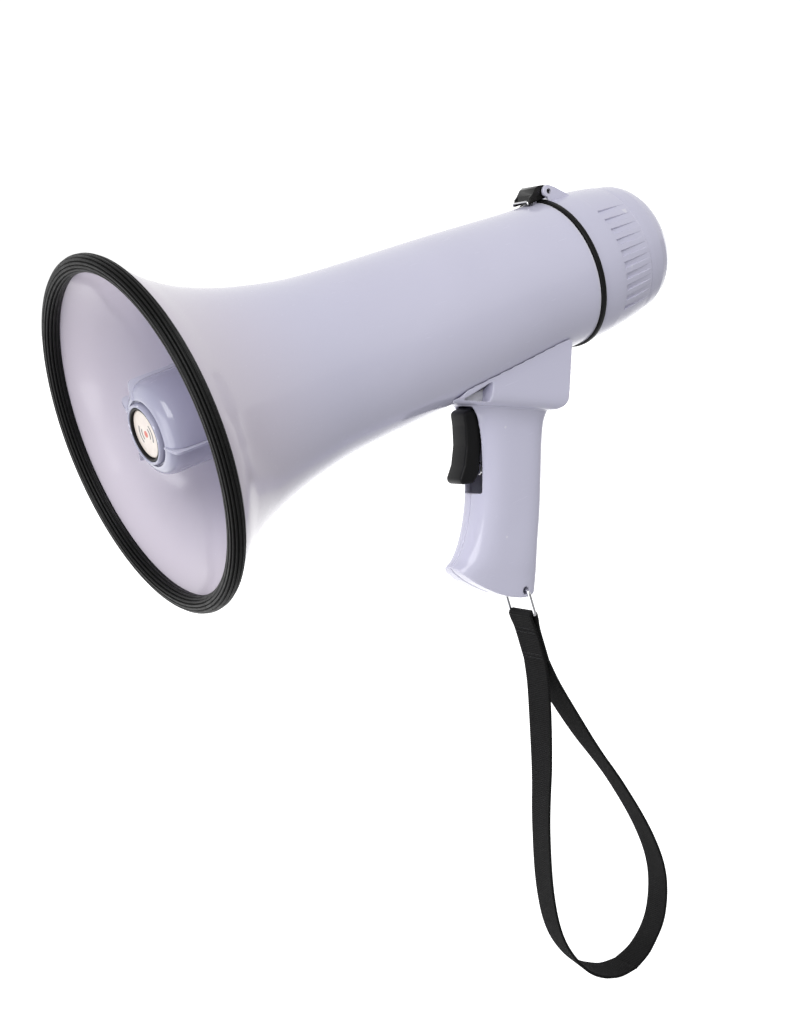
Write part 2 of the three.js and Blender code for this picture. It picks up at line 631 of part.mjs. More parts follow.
bosses.forEach(([a, up, , head], i) => {
  screw(`handle_screw_${i + 1}`, fromGrip([a, up], -head - 0.3), [0, 1, 0], head + 8);
});

// ---- ring and strap ------------------------------------------------------------------------
const eye = fromGrip(EYE_AT);
const ringPath = [];
[[1, 1], [1, -1], [-1, -1], [-1, 1]].forEach(([sy, sz], corner) => {
  const round = 2.2;
  for (let i = 0; i <= 3; i += 1) {
    const angle = rad(90 - corner * 90 - i * 30);
    ringPath.push([
      sy * (RING_HALF - round) + round * Math.cos(angle),
      (sz > 0 ? -round : -RING_DROP + round) + round * Math.sin(angle),
      angle,
    ]);
  }
});
node("strap_ring", skin(ringPath.map(([y, z, angle]) => {
  const ring = [];
  for (let j = 0; j < 8; j += 1) {
    const around = (j / 8) * 2 * Math.PI;
    const out = WIRE * Math.cos(around);
    ring.push([
      eye[0] + WIRE * Math.sin(around),
      y + out * Math.cos(angle),
      eye[2] + z + out * Math.sin(angle),
    ]);
  }
  return ring;
}), true), "steel");

const strapHalf = smooth([
  [0.95, -26], [4.5, -44], [15, -78], [28, -112], [37, -146], [38, -172], [29, -194],
  [14, -206], [0, -209.5],
], 22);
const strapSide = (distance) => strapHalf.map(([x, z], i) => {
  const [ax, az] = strapHalf[Math.max(i - 1, 0)];
  const [bx, bz] = strapHalf[Math.min(i + 1, strapHalf.length - 1)];
  const length = Math.hypot(bx - ax, bz - az);
  return [Math.max(x - (distance * (bz - az)) / length, 0), z + (distance * (bx - ax)) / length];
});
const bothSides = (run) => [
  ...run, ...[...run].reverse().filter(([x]) => x > 0.1).map(([x, z]) => [-x, z]),
];
const bead = [];
for (let angle = -50; angle <= 230; angle += 28) {
  bead.push([2.8 * Math.cos(rad(angle)), 2.8 * Math.sin(rad(angle))]);
}
const hole = [];
for (let i = 0; i < 10; i += 1) {
  hole.push([1.3 * Math.cos(rad(i * 36)), 1.3 * Math.sin(rad(i * 36))]);
}
const strapOutline = [...bothSides(strapSide(STRAP_THICK / 2)), ...bead.reverse()];
const strap = toGeometry(cut(
  plate(strapOutline, -STRAP_HALF, STRAP_HALF),
  plate(bothSides(strapSide(-STRAP_THICK / 2)), -STRAP_HALF - 1, STRAP_HALF + 1),
  plate(hole, -STRAP_HALF - 1, STRAP_HALF + 1),
));
strap.translate(eye[0], 0, eye[2] - RING_DROP);
node("wrist_strap", toSolid(strap), "webbing");

export default part;
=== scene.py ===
# Hand-held megaphone: the look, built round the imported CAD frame.
# Shapes are written in millimetres from the centre of the bell's rim, +X out of the bell,
# and placed in metres in the frame that the CAD part uses.
import math

import bmesh
import bpy
from mathutils import Matrix, Vector


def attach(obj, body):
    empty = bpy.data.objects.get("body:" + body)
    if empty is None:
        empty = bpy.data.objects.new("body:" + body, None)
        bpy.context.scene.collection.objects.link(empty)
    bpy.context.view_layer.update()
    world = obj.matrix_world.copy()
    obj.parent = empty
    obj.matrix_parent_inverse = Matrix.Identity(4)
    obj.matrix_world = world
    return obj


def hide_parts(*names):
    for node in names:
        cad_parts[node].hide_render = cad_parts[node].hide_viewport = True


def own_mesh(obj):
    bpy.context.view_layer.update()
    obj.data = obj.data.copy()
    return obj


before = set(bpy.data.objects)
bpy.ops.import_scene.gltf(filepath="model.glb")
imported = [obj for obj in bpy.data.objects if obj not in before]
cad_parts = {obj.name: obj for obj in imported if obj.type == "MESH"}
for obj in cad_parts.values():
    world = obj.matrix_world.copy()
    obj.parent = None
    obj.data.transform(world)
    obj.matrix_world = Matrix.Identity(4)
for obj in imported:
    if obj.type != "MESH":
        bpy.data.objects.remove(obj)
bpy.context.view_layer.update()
scene = bpy.context.scene

# ---- sizes ---------------------------------------------------------------------------
MM = 0.001
RIM_AT = Vector((0.177390, 0.0, 0.097025))      # centre of the rim in the part's frame
WALL = 2.4
SLACK = 0.35                       # between the barrel and the bracket on it
FLARE = [(-9.5, 79.0), (-20, 70.6), (-33.4, 62.4), (-47, 56.6), (-62, 52.0), (-78, 48.4),
         (-95.5, 45.5), (-114, 44.0), (-133.7, 43.1), (-181.5, 41.4), (-229.2, 38.95),
         (-248.3, 38.7)]
LIP = (-1.6, 84.4)
CANT = math.radians(23)            # lean of the grip
GRIP_REAR = -218.7                 # origin of the grip's own coordinates, square to the grip
EYE_AT = (2.3, -68.05)             # strap hole, forward and up in the grip
PIN_AT, PIN_HOLE = (-253.5, 42.7), 1.4          # latch pin
RING_HALF, RING_DROP, RING_ROUND, RING_WIRE = 11, 14.2, 2.2, 0.9
FLOOR_Z, FLOOR_RADIUS = -1.3, 18   # metres

# ---- camera --------------------------------------------------------------------------
camera = bpy.data.objects.new("camera", bpy.data.cameras.new("camera"))
scene.collection.objects.link(camera)
camera.data.lens = 63.67           # on the usual sensor, 36 mm wide
camera.data.clip_end = 50
CAMERA_AT = (0.486997, 0.771390, 0.220967)
CAMERA_RIGHT = Vector((-0.803024, 0.523531, -0.284723))
CAMERA_UP = Vector((-0.361905, -0.048821, 0.930936))
CAMERA_BACK = CAMERA_RIGHT.cross(CAMERA_UP)
camera.matrix_world = Matrix((CAMERA_RIGHT, CAMERA_UP, CAMERA_BACK)).transposed().to_4x4()
camera.location = CAMERA_AT
scene.camera = camera
scene.view_settings.view_transform = "Standard"
scene.view_settings.exposure = 0.3


# ---- mesh helpers --------------------------------------------------------------------
def at(x, y, z):
    """A point given in millimetres from the rim's centre, in the part's frame."""
    return Vector((x, y, z)) * MM + RIM_AT


def from_grip(forward, up, y=0.0):
    """Grip coordinates (forward, up) turned to millimetres from the rim's centre."""
    c, s = math.cos(CANT), math.sin(CANT)
    return (GRIP_REAR * c + forward * c - up * s, y, GRIP_REAR * s + forward * s + up * c)


def finish_mesh(bm, name, sharp=35, clean=True):
    """Turns a bmesh in millimetres into a smooth-shaded object in the part's frame."""
    if clean:
        bmesh.ops.remove_doubles(bm, verts=bm.verts, dist=1e-4)
        bmesh.ops.recalc_face_normals(bm, faces=bm.faces)
    mesh = bpy.data.meshes.new(name)
    bm.to_mesh(mesh)
    bm.free()
    mesh.transform(Matrix.Translation(RIM_AT) @ Matrix.Scale(MM, 4))
    mesh.shade_smooth()
    if sharp:
        mesh.set_sharp_from_angle(angle=math.radians(sharp))
    piece = bpy.data.objects.new(name, mesh)
    scene.collection.objects.link(piece)
    return piece


def rounded(loop, radius, steps=4):
    """A loop of (a, b) points with its corners rounded; (a, b, r) gives a corner its own."""
    out = []
    for i, point in enumerate(loop):
        p = Vector(point[:2])
        r = point[2] if len(point) > 2 else radius
        a = Vector(loop[i - 1][:2]) - p
        b = Vector(loop[(i + 1) % len(loop)][:2]) - p
        angle = a.angle(b) if r else math.pi
        if angle > math.radians(174):
            out.append(tuple(p))
            continue
        reach = min(r / math.tan(angle / 2), a.length * 0.48, b.length * 0.48)
        start, end = p + a.normalized() * reach, p + b.normalized() * reach
        for k in range(steps + 1):
            t = k / steps
            q = start * (1 - t) ** 2 + p * 2 * t * (1 - t) + end * t * t
            out.append(tuple(q))
    return out


def spline(points, per_span):
    """A smooth run through sparse points."""
    out = []
    for i in range(len(points) - 1):
        p0 = Vector(points[max(i - 1, 0)])
        p1, p2 = Vector(points[i]), Vector(points[i + 1])
        p3 = Vector(points[min(i + 2, len(points) - 1)])
        for k in range(per_span):
            t = k / per_span
            q = 0.5 * ((2 * p1) + (p2 - p0) * t + (2 * p0 - 5 * p1 + 4 * p2 - p3) * t * t
                       + (3 * p1 - p0 - 3 * p2 + p3) * t ** 3)
            out.append(tuple(q))
    out.append(tuple(points[-1]))
    return out


def offset(run, distance):
    """Moves a run of (x, radius) points inwards, square to the run."""
    out = []
    for i, (x, r) in enumerate(run):
        ax, ar = run[max(i - 1, 0)]
        bx, br = run[min(i + 1, len(run) - 1)]
        length = math.hypot(bx - ax, br - ar)
        out.append((x - distance * (br - ar) / length, r - distance * abs(bx - ax) / length))
    return out


def skin_rows(bm, rows, endless=False):
    """Faces between neighbouring rows of vertices; a row of one vertex is a pole."""
    count = max(len(row) for row in rows)
    for here, after in zip(rows, rows[1:] + rows[:1] if endless else rows[1:]):
        for j in range(count):
            k = (j + 1) % count
            corners = []
            for v in (here[j % len(here)], here[k % len(here)], after[k % len(after)],
                      after[j % len(after)]):
                if v not in corners:
                    corners.append(v)
            if len(corners) > 2:
                bm.faces.new(corners)
    if not endless:
        bm.faces.new(rows[0])
        bm.faces.new(list(reversed(rows[-1])))
    return bm


def turned_mesh(loop, facets=160, y=0.0, z=0.0, shape=None):
    """A closed loop of (x, radius) points turned about the X axis through (y, z)."""
    bm = bmesh.new()
    angles = facets if isinstance(facets, list) else [
        2 * math.pi * i / facets for i in range(facets)]
    rows = []
    for x, r in loop:
        if abs(r) < 1e-6:
            rows.append([bm.verts.new((x, y, z))])
            continue
        row = []
        for a in angles:
            reach = shape(x, r, a) if shape else r
            row.append(bm.verts.new((x, y + reach * math.cos(a), z + reach * math.sin(a))))
        rows.append(row)
    return skin_rows(bm, rows, endless=True)


def turned(name, loop, facets=160, y=0.0, z=0.0, radius=0.0, sharp=35):
    """A turned piece, with the corners of its loop rounded away from the axis."""
    if radius:
        loop = rounded([p if p[1] > 1e-6 else (p[0], p[1], 0) for p in loop], radius)
    return finish_mesh(turned_mesh(loop, facets, y, z), name, sharp)


def prism_mesh(loop, y0, y1, edge=0.0, steps=3):
    """A side profile of (x, z) points given a width, its two rims rounded by edge."""
    bm = bmesh.new()
    back = [bm.verts.new((x, y0, z)) for x, z in loop]
    fore = [bm.verts.new((x, y1, z)) for x, z in loop]
    caps = [bm.faces.new(back), bm.faces.new(list(reversed(fore)))]
    rims = [e for cap in caps for e in cap.edges]
    for i in range(len(loop)):
        k = (i + 1) % len(loop)
        bm.faces.new((back[k], back[i], fore[i], fore[k]))
    bmesh.ops.recalc_face_normals(bm, faces=bm.faces)
    if edge:
        bmesh.ops.bevel(bm, geom=rims, offset=edge, segments=steps, profile=0.5,
                        affect="EDGES", clamp_overlap=True)
    return bm


def turn_grip(bm):
    """Moves a bmesh from grip coordinates to the horn's."""
    move = Matrix.Translation(from_grip(0, 0)) @ Matrix.Rotation(-CANT, 4, "Y")
    bmesh.ops.transform(bm, matrix=move, verts=bm.verts)
    return bm


def box_mesh(x0, x1, y0, y1, z0, z1):
    bm = bmesh.new()
    bmesh.ops.create_cube(bm, size=1)
    bmesh.ops.scale(bm, vec=(x1 - x0, y1 - y0, z1 - z0), verts=bm.verts)
    bmesh.ops.translate(bm, vec=((x0 + x1) / 2, (y0 + y1) / 2, (z0 + z1) / 2), verts=bm.verts)
    return bm


def rod_mesh(start, end, radius, facets=40):
    """A round bar between two points."""
    bm = bmesh.new()
    start, end = Vector(start), Vector(end)
    bmesh.ops.create_cone(bm, cap_ends=True, segments=facets, radius1=radius, radius2=radius,
                          depth=(end - start).length)
    turn = Vector((0, 0, 1)).rotation_difference(end - start).to_matrix().to_4x4()
    bmesh.ops.transform(bm, matrix=Matrix.Translation((start + end) / 2) @ turn, verts=bm.verts)
    return bm


def crosswise(place, half):
    """The two ends of a run across the horn at (x, z)."""
    return (place[0], -half, place[1]), (place[0], half, place[1])


def bake_modifiers(piece):
    """Applies a piece's modifiers to its mesh."""
    bpy.context.view_layer.update()
    graph = bpy.context.evaluated_depsgraph_get()
    mesh = bpy.data.meshes.new_from_object(piece.evaluated_get(graph))
    piece.modifiers.clear()
    piece.data = mesh
    return piece


def combine(piece, operation, *tools):
    """Joins, cuts or intersects a piece with other solids, which are used up."""
    for tool in tools:
        step = piece.modifiers.new("step", "BOOLEAN")
        step.operation = operation
        step.solver = "MANIFOLD"
        step.object = tool
        bake_modifiers(piece)
        bpy.data.objects.remove(tool)
    return piece


def temp(bm):
    """A solid to work with, which isn't a piece of its own yet."""
    return finish_mesh(bm, "tool", sharp=0)


def creased(piece, name, sharp):
    """Names a worked solid and marks its edges sharper than an angle."""
    piece.name = name
    piece.data.set_sharp_from_angle(angle=math.radians(sharp))
    return piece


def resurface(piece, voxel, rounds):
    """Re-meshes a solid evenly and eases every edge, as a moulding's are."""
    step = piece.modifiers.new("even", "REMESH")
    step.mode = "VOXEL"
    step.voxel_size = voxel * MM
    ease = piece.modifiers.new("ease", "SMOOTH")
    ease.factor = 0.5
    ease.iterations = rounds
    bake_modifiers(piece)
    piece.data.shade_smooth()
    return piece


def swept_mesh(path, radius, sides=12, closed=True):
    """A round wire along a run of points."""
    bm = bmesh.new()
    count = len(path)
    rows = []
    up = None
    for i, p in enumerate(path):
        before = Vector(path[i - 1] if closed or i else path[0])
        after = Vector(path[(i + 1) % count] if closed or i < count - 1 else path[-1])
        along = (after - before).normalized()
        if up is None:
            up = along.orthogonal().normalized()
        up = (up - along * up.dot(along)).normalized()
        side = along.cross(up)
        rows.append([bm.verts.new(Vector(p) + radius * (
            up * math.cos(2 * math.pi * j / sides) + side * math.sin(2 * math.pi * j / sides)))
            for j in range(sides)])
    spans = count if closed else count - 1
    for i in range(spans):
        here, after = rows[i], rows[(i + 1) % count]
        shift = 0
        if closed and i == count - 1:
            shift = min(range(sides), key=lambda s: (here[0].co - after[s].co).length)
        for j in range(sides):
            k = (j + 1) % sides
            bm.faces.new((here[j], here[k], after[(k + shift) % sides], after[(j + shift) % sides]))
    if not closed:
        bm.faces.new(list(reversed(rows[0])))
        bm.faces.new(rows[-1])
    return bm


def merge(bm, *others):
    """Adds other bmeshes to one, as separate solids of the same piece."""
    for other in others:
        mesh = bpy.data.meshes.new("part")
        other.to_mesh(mesh)
        other.free()
        bm.from_mesh(mesh)
        bpy.data.meshes.remove(mesh)
    return bm


# ---- materials -----------------------------------------------------------------------
class Nodes:
    """A small builder for the node tree of a material or of the world."""

    def __init__(self, name, world=False):
        self.owner = bpy.data.worlds.new(name) if world else bpy.data.materials.new(name)
        self.owner.use_nodes = True
        self.tree = self.owner.node_tree
        self.surface = self.tree.nodes["Background" if world else "Principled BSDF"]
        self.place = self.add("ShaderNodeTexCoord").outputs["Generated" if world else "Object"]

    def add(self, kind, **values):
        node = self.tree.nodes.new(kind)
        for key, value in values.items():
            setattr(node, key, value)
        return node

    def join(self, source, socket):
        self.tree.links.new(source, socket)

    def feed(self, node, key, value):
        """Sets an input from a socket, an sRGB colour as text, a linear colour or a number."""
        socket = node.inputs[key]
        if isinstance(value, bpy.types.NodeSocket):
            self.join(value, socket)
            return
        if isinstance(value, str):
            value = tint(value)
        socket.default_value = (*value, 1) if isinstance(value, tuple) else value

    def math(self, kind, a, b=0.0, c=0.0):
        node = self.add("ShaderNodeMath", operation=kind)
        for i, value in enumerate((a, b, c)):
            self.feed(node, i, value)
        return node.outputs[0]

    def scaled(self, factors):
        node = self.add("ShaderNodeMapping")
        self.feed(node, "Vector", self.place)
        node.inputs["Scale"].default_value = factors
        return node.outputs[0]

    def split(self, vector):
        """The X, Y and Z of a vector."""
        apart = self.add("ShaderNodeSeparateXYZ")
        self.join(vector, apart.inputs[0])
        return apart.outputs

    def dot(self, axis):
        """How far the shaded place lies along an axis."""
        node = self.add("ShaderNodeVectorMath", operation="DOT_PRODUCT")
        self.join(self.place, node.inputs[0])
        node.inputs[1].default_value = axis
        return node.outputs["Value"]

    def noise(self, scale, detail=2.0, rough=0.5, where=None, distortion=0.0):
        node = self.add("ShaderNodeTexNoise")
        self.join(where or self.place, node.inputs["Vector"])
        node.inputs["Scale"].default_value = scale
        node.inputs["Detail"].default_value = detail
        node.inputs["Roughness"].default_value = rough
        node.inputs["Distortion"].default_value = distortion
        return node.outputs["Fac"]

    def span(self, value, low, high, to_low=0.0, to_high=1.0, smooth=True):
        node = self.add("ShaderNodeMapRange")
        node.interpolation_type = "SMOOTHSTEP" if smooth else "LINEAR"
        self.feed(node, "Value", value)
        for key, number in zip(("From Min", "From Max", "To Min", "To Max"),
                               (low, high, to_low, to_high)):
            node.inputs[key].default_value = number
        return node.outputs[0]

    def mix(self, factor, first, second):
        node = self.add("ShaderNodeMix", data_type="RGBA")
        for socket, value in ((0, factor), (6, first), (7, second)):
            self.feed(node, socket, value)
        return node.outputs[2]

    def bump(self, height, distance, strength=1.0, below=None):
        node = self.add("ShaderNodeBump")
        node.inputs["Strength"].default_value = strength
        node.inputs["Distance"].default_value = distance
        self.join(height, node.inputs["Height"])
        if below is not None:
            self.join(below, node.inputs["Normal"])
        return node.outputs[0]

    def edges(self, low=0.50, high=0.56):
        geometry = self.add("ShaderNodeNewGeometry")
        return self.span(geometry.outputs["Pointiness"], low, high)

    def output(self, **values):
        for key, value in values.items():
            self.feed(self.surface, key.replace("_", " "), value)
        return self.owner


def tint(hexa):
    """An sRGB colour as linear numbers."""
    out = []
    for i in (0, 2, 4):
        c = int(hexa[i:i + 2], 16) / 255
        out.append(c / 12.92 if c <= 0.04045 else ((c + 0.055) / 1.055) ** 2.4)
    return tuple(out)


def moulded(name, dark, light, edge, low, high, grain=0.000012, flare_glow=None, coat=0.0,
            shine=0.5):
    """Glossy moulded plastic: faint flow marks, fine orange peel, hairline scuffs, convex edges
    painted lighter as a painted edge highlight.
    """
    n = Nodes(name)
    flow = n.noise(9, 3, 0.55, distortion=0.4)
    colour = n.mix(n.span(flow, 0.3, 0.7), dark, light)
    # painted glow: a pinkish tint towards the rim, standing in for light shining through the thin
    # flare wall
    if flare_glow:
        colour = n.mix(n.span(n.split(n.place)["X"], flare_glow[0], flare_glow[1], 0, flare_glow[3]), colour, flare_glow[2])
    speck = n.span(n.noise(900, 1), 0.62, 0.8, 0, 0.16)
    colour = n.mix(speck, colour, dark)
    # convex edges painted lighter: a painted edge highlight
    colour = n.mix(n.edges(0.51, 0.6), colour, edge)
    blotch = n.noise(46, 3, 0.6)
    hair = n.noise(1, 2, 0.5, where=n.scaled((60, 1500, 1500)))
    scuff = n.span(hair, 0.66, 0.74, 0, 0.12)
    rough = n.math("ADD", n.span(blotch, 0.25, 0.75, low, high, smooth=False), scuff)
    peel = n.bump(n.noise(130, 2, 0.5), grain * 2)
    grains = n.bump(n.noise(3600, 2, 0.6), grain * 0.4, below=peel)
    return n.output(Base_Color=colour, Roughness=rough, Normal=grains, Coat_Weight=coat,
                    Coat_Roughness=0.05, Specular_IOR_Level=shine)


def metal(name, dark, light, low, high, streak=(40, 900, 900), depth=0.000008):
    n = Nodes(name)
    colour = n.mix(n.span(n.noise(60, 3, 0.6), 0.3, 0.7), dark, light)
    # convex edges painted lighter: a painted edge highlight
    colour = n.mix(n.edges(0.52, 0.62), colour, light)
    lines = n.noise(1, 3, 0.6, where=n.scaled(streak))
    rough = n.span(lines, 0.3, 0.75, low, high, smooth=False)
    return n.output(Base_Color=colour, Roughness=rough, Metallic=1.0,
                    Normal=n.bump(lines, depth))


def dusty(name, dark, light, low, high, scale, depth, shine=0.4):
    """A matte surface with grain: rubber, foam, ferrite, film."""
    n = Nodes(name)
    colour = n.mix(n.span(n.noise(scale, 3, 0.6), 0.35, 0.7), dark, light)
    # convex edges painted lighter: a painted edge highlight, glints on the rim's ridges
    colour = n.mix(n.edges(0.51, 0.62), colour, light)
    rough = n.span(n.noise(scale * 0.3, 2), 0.3, 0.7, low, high, smooth=False)
    return n.output(Base_Color=colour, Roughness=rough, Specular_IOR_Level=shine,
                    Normal=n.bump(n.noise(scale * 2.2, 3, 0.6), depth))


# the third colour of each moulded finish is its painted edge highlight; the hub's is the strongest,
# on its lips
look = {
    "bell": moulded("plastic_bell", "c6c5d8", "cac9dc", "d6d5df", 0.15, 0.19,
                    # the bell's flare carries a painted glow tint, for light shining through its
                    # thin wall
                    flare_glow=(0.085, 0.178, "cbc3ce", 0.9), coat=0.2, shine=0.42),
    "plain": moulded("plastic_plain", "c3c2d5", "c7c6d9", "d3d2de", 0.17, 0.23,
                     coat=0.2, shine=0.42),
    "hub": moulded("plastic_hub", "9c9cb2", "a1a1b6", "cfcfdd", 0.15, 0.21,
                   coat=0.5),
    "gloss": moulded("black_gloss", "070707", "0b0a0b", "1d1c1c", 0.12, 0.2,
                     shine=0.24),
    "satin": moulded("black_satin", "0c0c0d", "111112", "232325", 0.36, 0.46,
                     grain=0.00002, shine=0.2),
    "rubber": dusty("rubber_black", "080808", "101010", 0.36, 0.5, 700, 0.000012,
                    shine=0.22),
    "steel": metal("steel_plated", "9fa1a6", "cfd0d4", 0.2, 0.38),
    "chrome": metal("chrome_wire", "c9cacd", "e6e6e8", 0.07, 0.2,
                    streak=(700, 700, 60), depth=0.000004),
    "brass": metal("brass_plain", "a58443", "d0b068", 0.22, 0.42),
    "ferrite": dusty("ferrite_grey", "2b2b2e", "45454a", 0.55, 0.75, 900, 0.00003),
    "film": dusty("film_phenolic", "bfa877", "d9c596", 0.35, 0.5, 300, 0.00001),
    "foam": dusty("foam_open", "131314", "303032", 0.9, 1.0, 1600, 0.0004),
}


def dress(piece, finish, body, slot, *stands_for):
    """Gives a piece its material and body, and hides the CAD nodes it stands for; the slot is not
    used.
    """
    piece.data.materials.clear()
    piece.data.materials.append(look[finish] if isinstance(finish, str) else finish)
    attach(piece, body)
    if stands_for:
        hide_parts(*stands_for)
    return piece


# ---- bell and barrel -----------------------------------------------------------------
outside = spline([LIP] + FLARE, 9)
inside = offset(outside, WALL)


def bore_at(x):
    """Inner radius of the horn at x."""
    for (ax, ar), (bx, br) in zip(inside, inside[1:]):
        if bx <= x <= ax:
            return ar + (br - ar) * (x - ax) / (bx - ax)
    return inside[-1][1]


LEDGE = (-98.8, -101.8)
LEDGE_RADIUS = 35.0
bell_loop = (outside + [(-248.3, 36.3)]
             + [p for p in reversed(inside) if -247 < p[0] < LEDGE[1] - 2]
             + [(LEDGE[1], bore_at(LEDGE[1])), (LEDGE[1], LEDGE_RADIUS), (LEDGE[0], LEDGE_RADIUS),
                (LEDGE[0], bore_at(LEDGE[0]))]
             + [p for p in reversed(inside) if p[0] > LEDGE[0] + 1])
bell = turned_mesh(bell_loop, 220)
catch = prism_mesh(rounded([(-248, 37.4), (-245.9, 37.4), (-245.9, 39.7), (-248, 39.9)], 0.4),
                   -5, 5, 0.4)
dress(finish_mesh(merge(bell, catch), "bell_and_barrel"), "bell", "main", "shell",
      "horn_body")

RIM_MIDDLE = 83.1
RIM_RIDGES = 24                    # degrees round the section from one ridge to the next


def rim_loop():
    """Section of the rim's rubber: a ridged bead that grips the edge of the bell."""
    run = []
    for i in range(181):
        angle = math.radians(176 - i * 316.8 / 180)
        groove = abs(math.cos(angle * 180 / RIM_RIDGES)) ** 5
        size = 4.4 - 0.75 * groove
        x = min((size - 0.2) * math.cos(angle), 4.0)
        run.append((x, RIM_MIDDLE + size * math.sin(angle)))
    upper = [p for p in run if p[1] > RIM_MIDDLE]
    lower = [p for p in run if p[1] <= RIM_MIDDLE and p[0] > -2.6]
    return upper + lower + [(-3.3, 79.85), (0.25, 82.3), (-1.5, 84.9), (-4.1, 83.15)]


dress(turned("rim_rubber", rim_loop(), 240, sharp=60), "rubber", "main", "rubber", "rim_bumper")

# ---- hub -----------------------------------------------------------------------------
LOBES = [(-23, 101), (140, 213)]
LOBE_EASE = 4.6                    # degrees over which a lobe rises from the hub
HUB_RUN = [                        # hub x, radius; lobe x, radius
    (-58, 22, -58, 24.6), (-40, 22, -40, 24.6), (-24, 22, -24, 24.6), (-15, 22, -15, 24.5),
    (-12, 22, -12.2, 24.25), (-10.4, 21.9, -10.3, 23.85), (-9.2, 21.7, -8.9, 23.35),
    (-8.2, 21.4, -7.8, 22.75), (-7.3, 21.0, -6.9, 22.1), (-6.5, 20.5, -6.2, 21.4),
    (-5.8, 19.9, -5.6, 20.6), (-5.3, 19.3, -5.1, 19.75), (-5, 18.7, -4.8, 18.9),
    (-4.7, 18.0, -4.6, 18.15), (-4.5, 17.2, -4.45, 17.2), (-4.4, 16.3, -4.4, 16.3),
    (-6.5, 16.2, -6.5, 16.2), (-6.5, 9, -6.5, 9), (-6.5, 0, -6.5, 0), (-9, 0, -9, 0),
    (-9, 10, -9, 10), (-11.5, 18.6, -11.5, 18.6), (-57.6, 19.4, -57.6, 19.4),
    (-58, 20, -58, 20),
]


def lobe_share(angle):
    """How far the hub has risen to a lobe at an angle, 0 to 1."""
    best = 0.0
    for low, high in LOBES:
        middle, half = (low + high) / 2, (high - low) / 2
        away = abs((angle - middle + 180) % 360 - 180)
        t = min(max((half + LOBE_EASE / 2 - away) / LOBE_EASE, 0), 1)
        best = max(best, t * t * (3 - 2 * t))
    return best


def lobed(run):
    """A hub whose section changes between two runs round the axis."""
    angles = [i * 2.5 for i in range(144)]
    for low, high in LOBES:
        for edge in (low, high):
            angles += [edge + (k - 6) * LOBE_EASE / 10 for k in range(13)]
    angles = sorted({round(a % 360, 3) for a in angles})
    bm = bmesh.new()
    rows = []
    for hx, hr, lx, lr in run:
        if hr == 0:
            rows.append([bm.verts.new((hx, 0, 0))])
            continue
        row = []
        for degrees in angles:
            t, a = lobe_share(degrees), math.radians(degrees)
            r = hr + (lr - hr) * t
            row.append(bm.verts.new((hx + (lx - hx) * t, r * math.cos(a), r * math.sin(a))))
        rows.append(row)
    return skin_rows(bm, rows, endless=True)


def arc_mesh(loop, low, high, steps=40):
    """A loop of (x, radius) points swept round the axis from one angle to another."""
    bm = bmesh.new()
    rows = []
    for i in range(steps + 1):
        a = math.radians(low + (high - low) * i / steps)
        rows.append([bm.verts.new((x, r * math.cos(a), r * math.sin(a))) for x, r in loop])
    return skin_rows(bm, rows)


legs = [arc_mesh(rounded([(-57.5, 25.5), (-95.8, 25.5), (-95.8, 19.6), (-70, 19.6),
                          (-57.5, 20.6)], 0.6), low + 0.4, high - 0.4) for low, high in LOBES]
LIP_RUN = rounded([(-95, 20), (-95, 26.0), (-5.4, 26.0, 3.4), (-3.4, 16.3, 0.8),
                   (-7, 16.3)], 1.0, 6)
LIP_HALF = 1.2                     # degrees either side of a lobe's edge
lips = [arc_mesh(LIP_RUN, edge - LIP_HALF, edge + LIP_HALF, 6)
        for lobe in LOBES for edge in lobe]
dress(finish_mesh(merge(lobed(HUB_RUN), *legs, *lips), "hub_reflector_skin"), "hub", "main",
      "hub", "hub_reflector")
dress(turned("hub_ring_skin", [(-6.2, 15.0), (-3.9, 15.0), (-3.0, 14.8), (-2.4, 14.4),
                               (-2.3, 13.8), (-2.7, 13.25), (-6.2, 13.25)], 144, radius=0.4),
      "hub", "main", "hub", "hub_ring")
dress(turned("hub_groove", [(-6.2, 12.1), (-2.8, 12.1), (-2.8, 13.05), (-6.2, 13.05)], 96,
             radius=0.2), "satin", "main", "black", "hub_badge_seat")


def badge_look():
    """A blank printed label with a plain sound mark: a dot between two pairs of arcs."""
    n = Nodes("label_disc")
    apart = n.split(n.place)
    y = apart["Y"]
    z = n.math("SUBTRACT", apart["Z"], RIM_AT.z)
    far = n.math("SQRT", n.math("ADD", n.math("MULTIPLY", y, y), n.math("MULTIPLY", z, z)))
    paper = n.mix(n.span(n.noise(260, 3, 0.6), 0.3, 0.7), "d6cbc4", "ded4cc")
    # the label's rounded rim painted darker: painted shade where it meets the groove
    edge = n.span(far, 0.0110, 0.0118)
    paper = n.mix(edge, paper, "c2b9b2")
    wide = n.math("GREATER_THAN", n.math("ABSOLUTE", y),
                  n.math("MULTIPLY", n.math("ABSOLUTE", z), 1.25))
    rings = 0.0
    for radius in (0.0040, 0.0064):
        near = n.math("ABSOLUTE", n.math("SUBTRACT", far, radius))
        rings = n.math("MAXIMUM", rings, n.span(near, 0.00040, 0.00056, 1, 0))
    arcs = n.math("MULTIPLY", rings, wide)
    colour = n.mix(arcs, paper, "3d3f46")
    dot = n.span(far, 0.0016, 0.0018, 1, 0)
    colour = n.mix(dot, colour, "c4533f")
    rough = n.span(n.noise(500, 2), 0.3, 0.7, 0.3, 0.42, smooth=False)
    return n.output(Base_Color=colour, Roughness=rough, Coat_Weight=0.3, Coat_Roughness=0.15,
                    Normal=n.bump(n.noise(1500, 2), 0.00001))


dress(turned("label_disc", [(-6.2, 0), (-3.9, 0), (-3.95, 11.2), (-4.3, 11.9), (-6.2, 11.9)], 96,
             radius=0.4), badge_look(), "main", "cream", "hub_badge")

